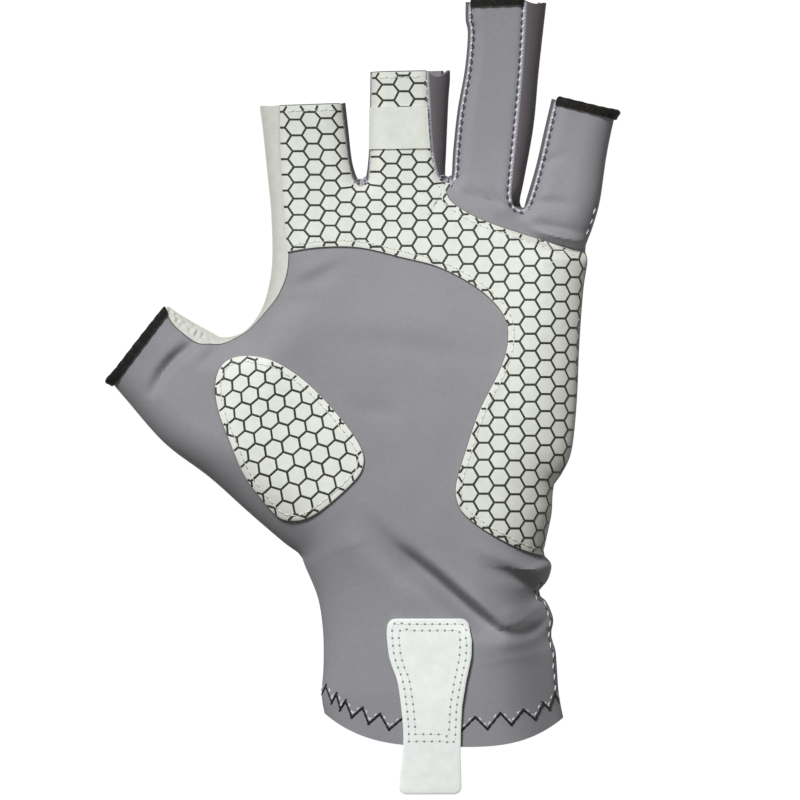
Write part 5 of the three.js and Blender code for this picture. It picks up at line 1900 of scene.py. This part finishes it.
@dataclass
class SeamStitching(OnForm):
    """Overlock seams: a lavender-grey rope along each seam, with bright knots and dark marks of painted
    shade in the gaps beside it.
    """

    pitch: float = 2.4  # from knot to knot
    rope_pitch: float = 1.1
    rope: Stitch = Stitch(2.0, 1.3, 0.6, lift=0.08, slant=-6.0, aside=-0.6)
    knot: Stitch = Stitch(1.1, 0.75, 0.45, lift=0.36, slant=-24.0, aside=-0.2)
    # Dark marks of painted shade in the gaps between the knots.
    gap: Stitch = Stitch(1.3, 0.8, 0.4, lift=0.14, slant=-14.0, aside=0.3)
    edge_light: Stitch = Stitch(1.7, 0.4, 0.4, lift=0.12, slant=-9.0)
    # Dark marks of painted shade between the stitches at the outline.
    edge_shade_mark: Stitch = Stitch(0.8, 0.5, 0.4, lift=0.1, slant=20.0)
    edge_pitch: float = 3.36
    edge_inset: float = 1.1
    edge_waver: float = 0.4
    bundle_reach: float = 3.6  # from a crotch's lowest point
    bundle_pitch: float = 1.3
    bundle_light: tuple[Stitch, ...] = (
        Stitch(1.9, 1.1, 0.9, lift=0.3, slant=40.0, aside=-2.0),
        Stitch(1.8, 1.0, 0.9, lift=0.45, slant=74.0, aside=-1.0),
        Stitch(1.7, 1.0, 0.9, lift=0.4, slant=60.0, aside=0.1),
    )
    # Dark marks of painted shade between the stitches at the crotches.
    bundle_shade_marks: tuple[Stitch, ...] = (
        Stitch(1.1, 0.8, 0.7, lift=0.75, slant=20.0, aside=-1.5),
        Stitch(1.1, 0.7, 0.7, lift=0.7, slant=50.0, aside=-0.5),
    )

    def seams(self) -> list[Array]:
        """The palm's seams round the three spaces between fingers."""
        spaces = (Side.LITTLE_RING, Side.RING_MIDDLE, Side.MIDDLE_INDEX)
        return [placed(self.form.sides[side], seam_depth, 0.0) for side in spaces]

    def crotches(self) -> list[Array]:
        """The short stretches of the two suede-bordered seams round their lowest points."""
        found = []
        for line in self.seams()[1:]:
            run = run_length(line)
            found.append(line[np.abs(run - run[line[:, Y].argmin()]) < self.bundle_reach])
        return found

    def edges(self) -> list[Array]:
        """The stretches of the outline where the back's seam shows, drawn with a slight waver."""
        found = []
        spans = ((Side.ULNAR, -99.0, -57.0), (Side.ULNAR, 47.0, 66.0), (Side.RADIAL, -99.0, -88.0))
        for side, low, high in spans:
            rows = self.form.sides[side]
            rows = rows[(rows[:, Y] > low) & (rows[:, Y] < high)]
            waver = self.edge_waver * np.sin(1.7 * rows[:, Y]) * np.sin(0.6 * rows[:, Y])
            found.append(rows[:, :2] + rows[:, IN_X:] * (self.edge_inset + waver)[:, None])
        return found

    def row(
        self, lines: Sequence[Array], stitch: Stitch, pitch: float, shift: float = 0.0, skipped: int = 1
    ) -> Shape:
        """Stitches of one kind along lines, with some of them skipped at each end of a line."""
        rows = [sewing(line, pitch, shift)[skipped : -skipped or None] for line in lines]
        return stitch.laid(self.form.top, np.vstack(rows))

    def build(self, bench: Workbench) -> None:
        """Makes the stitches of all seams."""
        seams, crotches, edges = self.seams(), self.crotches(), self.edges()
        light = [self.row(crotches, stitch, self.bundle_pitch, 0.0, 0) for stitch in self.bundle_light]
        dark = [self.row(crotches, stitch, self.bundle_pitch * 2, 0.2, 0) for stitch in self.bundle_shade_marks]
        for name, shape, finish in (
            ("seam_rope", self.row(seams, self.rope, self.rope_pitch), LAVENDER_THREAD),
            ("seam_knots", self.row(seams, self.knot, self.pitch), LIGHT_THREAD),
            ("seam_gaps", self.row(seams, self.gap, self.pitch, 0.5), STITCH_GAP_SHADE),
            ("crotch_stitches", joined(light), LAVENDER_THREAD),
            ("crotch_gaps", joined(dark), STITCH_GAP_SHADE),
            ("edge_stitches", self.row(edges, self.edge_light, self.edge_pitch), LIGHT_THREAD),
            ("edge_gaps", self.row(edges, self.edge_shade_mark, self.edge_pitch, 0.5), STITCH_GAP_SHADE),
        ):
            bench.piece(name, shape, finish)


@dataclass
class StripSeam(OnForm):
    """A dark line of painted shade where the suede strip is sewn to the palm."""

    width: float = 0.42
    height: float = 0.3
    spacing: float = 0.6
    skipped: int = 3  # samples left out at each end

    def build(self, bench: Workbench) -> None:
        """Makes the line."""
        line = placed(self.form.sides[Side.INDEX_THUMB][self.skipped : -self.skipped], seam_depth, 0.0)
        points, normals = self.form.top(spaced(line, self.spacing)[None])
        section = round_section(self.width, self.height)
        bench.piece("strip_seam", strands(points, normals, section), SEAM_SHADE)


@dataclass
class CuffZigzag(OnForm):
    """The dark zigzag that holds the cuff's hem, with bits of a light under-thread beside it."""

    # Its turning points left and right of the tab, in the photograph's pixels.
    left: tuple[Span, ...] = (
        (322.8, 692.5), (325.8, 686), (332, 702), (336.4, 693.5), (340.6, 708.8), (345.6, 700.3),
        (352, 716.6), (362.6, 707), (368.8, 722.8), (380, 713), (389, 728.6), (402.5, 717.2),
    )
    right: tuple[Span, ...] = (
        (461, 730), (475, 716), (487, 728), (500, 712), (511, 724), (523, 709), (535, 719), (543, 703),
        (549, 709), (555, 694), (558, 701),
    )
    thread: Stitch = Stitch(2.45, 0.74, 0.5, lift=0.1)
    thread_shares: tuple[float, ...] = (0.14, 0.5, 0.86)  # where a leg's lengths of it lie
    under_thread: Stitch = Stitch(1.2, 0.42, 0.32, lift=0.05, aside=0.7)
    under_shares: tuple[float, ...] = (0.3, 0.72)

    def places(self, shares: Sequence[float]) -> Array:
        """Places at shares along every leg of the zigzag, with the leg's way."""
        corners = [from_pixels(pixels) for pixels in (self.left, self.right)]
        starts = np.vstack([part[:-1] for part in corners])
        steps = np.vstack([np.diff(part, axis=0) for part in corners])
        points = starts[:, None] + np.array(shares)[None, :, None] * steps[:, None]
        ways = np.broadcast_to(unit(steps)[:, None], points.shape)
        return np.concatenate([points, ways], axis=-1).reshape(-1, 4)

    def build(self, bench: Workbench) -> None:
        """Makes both threads."""
        for name, thread, shares, finish in (
            ("cuff_zigzag", self.thread, self.thread_shares, BLACK_THREAD),
            ("cuff_under_thread", self.under_thread, self.under_shares, LIGHT_THREAD),
        ):
            bench.piece(name, thread.laid(self.form.top, self.places(shares)), finish)


@dataclass
class PatchStitching(OnForm):
    """Off-white stitches just inside a patch's edge, with grey dots of painted shade in their needle holes.
    """

    sheet: PatchSheet = field(default_factory=PatchSheet)
    inset: float = 1.8
    nearest: float = 0.93  # stitches nearer to the edge than this share of the inset are left out
    pitch: float = 2.3  # from stitch to stitch
    spacing: float = 0.4

    def places(self, region: Region, line: Array) -> Array:
        """Places of the stitches, along one line of the patch's edge moved in.

        Args:
            region: the patch's outline.
            line: the part of it that the stitches follow.

        Returns:
            Rows of x, y and the way.
        """
        edge = spaced(line[:, :2], self.spacing)
        left = left_of(unit(np.gradient(edge, axis=0))) * self.inset
        side = 1.0 if region.depth(edge + left).mean() > 0 else -1.0
        inner = edge + side * left
        return sewing(inner[region.depth(inner) > self.inset * self.nearest], self.pitch)

    def build(self, bench: Workbench, name: str, region: Region, lines: Sequence[Array]) -> None:
        """Makes one patch's stitches, and grey dots of painted shade in their needle holes.

        Args:
            bench: makes the meshes.
            name: what the pieces' names start with.
            region: the patch's outline.
            lines: the parts of it that the stitches follow.
        """
        level = float(self.sheet.offset(np.array(self.inset)))
        rows = np.vstack([self.places(region, line) for line in lines])
        thread = Stitch(length=1.45, width=0.42, height=0.3, lift=level + 0.08)
        # Grey dots of painted shade in the needle holes.
        hole = Stitch(length=0.5, width=0.42, height=0.16, lift=level)
        holes = hole.laid(self.form.top, between(rows, self.pitch))
        bench.piece(f"{name}_stitches", thread.laid(self.form.top, rows), SUEDE_THREAD)
        bench.piece(f"{name}_needle_holes", holes, NEEDLE_HOLE_SHADE)


@dataclass(frozen=True)
class Studio:
    """The floor, the lights and the camera."""

    # What the camera looks straight down on, in frame millimetres.
    centre: Span = (12.06, -1.59)
    view: float = 256.0  # the picture's width on the glove, in millimetres
    middle: float = 0.012  # the glove's middle height, in metres
    height: float = 4.0  # of the camera, in metres
    sensor: float = 36.0  # width of the camera's, in millimetres
    reach: float = 3.0  # of the floor, in metres
    floor_drop: float = 0.0002  # in metres
    grey: float = 0.05  # the floor's own shade
    surround: Triple = (1.0, 0.95, 0.9)
    surround_strength: float = 0.14
    key_way: Triple = (0.35, -0.62, -0.70)
    key_angle: float = 14.0  # in degrees
    key_strength: float = 3.15
    # Place of the small overhead light, in metres.
    overhead_place: Triple = (0.045, 0.035, 0.144)
    overhead_size: float = 0.08
    overhead_power: float = 0.043  # in watts

    def floor(self) -> None:
        """A plain pale floor, which glows a little so that the shadow on it stays faint."""
        data = bpy.data.meshes.new("floor")
        corners = [(self.reach * x, self.reach * y, 0) for x, y in ((-1, -1), (1, -1), (1, 1), (-1, 1))]
        data.from_pydata(corners, [], [(0, 1, 2, 3)])
        floor = added("floor", data)
        made = bpy.data.materials.new("pale floor")
        made.use_nodes = True
        shader = made.node_tree.nodes["Principled BSDF"]
        NodeBoard(made).set(
            shader,
            Base_Color=(self.grey, self.grey, self.grey, 1),
            Roughness=1.0,
            Specular_IOR_Level=0.0,
            Emission_Color=(1, 1, 1, 1),
            Emission_Strength=1.0,
        )
        data.materials.append(made)
        floor.location.z = -self.floor_drop
        floor.visible_diffuse = False

    def lights(self) -> None:
        """A broad soft key from the upper left, a small overhead light and an even dim surround."""
        world = bpy.data.worlds.new("studio")
        world.use_nodes = True
        sky = world.node_tree.nodes["Background"].inputs
        sky["Color"].default_value = (*self.surround, 1)
        sky["Strength"].default_value = self.surround_strength
        bpy.context.scene.world = world
        sun = bpy.data.lights.new("key", "SUN")
        sun.energy = self.key_strength
        sun.angle = math.radians(self.key_angle)
        added("key", sun).rotation_euler = Vector(self.key_way).to_track_quat("-Z", "Y").to_euler()
        box = bpy.data.lights.new("overhead", "AREA")
        box.size = self.overhead_size
        box.energy = self.overhead_power
        added("overhead", box).location = self.overhead_place

    def camera(self) -> None:
        """A long lens straight above the glove, with the fingertips up."""
        data = bpy.data.cameras.new("camera")
        data.lens = self.sensor * (self.height - self.middle) / (self.view * MILLIMETRE)
        data.clip_start, data.clip_end = 0.1, 20.0
        camera = added("camera", data)
        camera.location = (self.centre[0] * MILLIMETRE, self.centre[1] * MILLIMETRE, self.height)
        bpy.context.scene.camera = camera

    def build(self) -> None:
        """Sets up the whole studio."""
        self.floor()
        self.lights()
        self.camera()
        bpy.context.scene.view_settings.view_transform = "Standard"


def main() -> None:
    """Builds the glove's pieces in order, then the studio."""
    logging.basicConfig(level=logging.INFO, format="%(message)s")
    form = GloveForm()
    panels = FabricPanels(form)
    palm, back = panels.palm_plan(), panels.back_plan()
    bench = Workbench(np.array(PLAN_TO_FRAME))
    panels.build(bench)
    SideWalls(form).build(bench)
    grip = GripPatch(form, palm=palm).build(bench)
    thenar = ThenarPatch(form).build(bench)
    FingerBand(form, palm).build(bench)
    ElasticTrims(form, palm, back).build(bench)
    PullTab(form).build(bench)
    SeamStitching(form).build(bench)
    StripSeam(form).build(bench)
    CuffZigzag(form).build(bench)
    PatchStitching(form).build(bench, "grip", *grip)
    PatchStitching(form).build(bench, "thenar", *thenar)
    Studio().build()


if __name__ == "__main__":
    main()
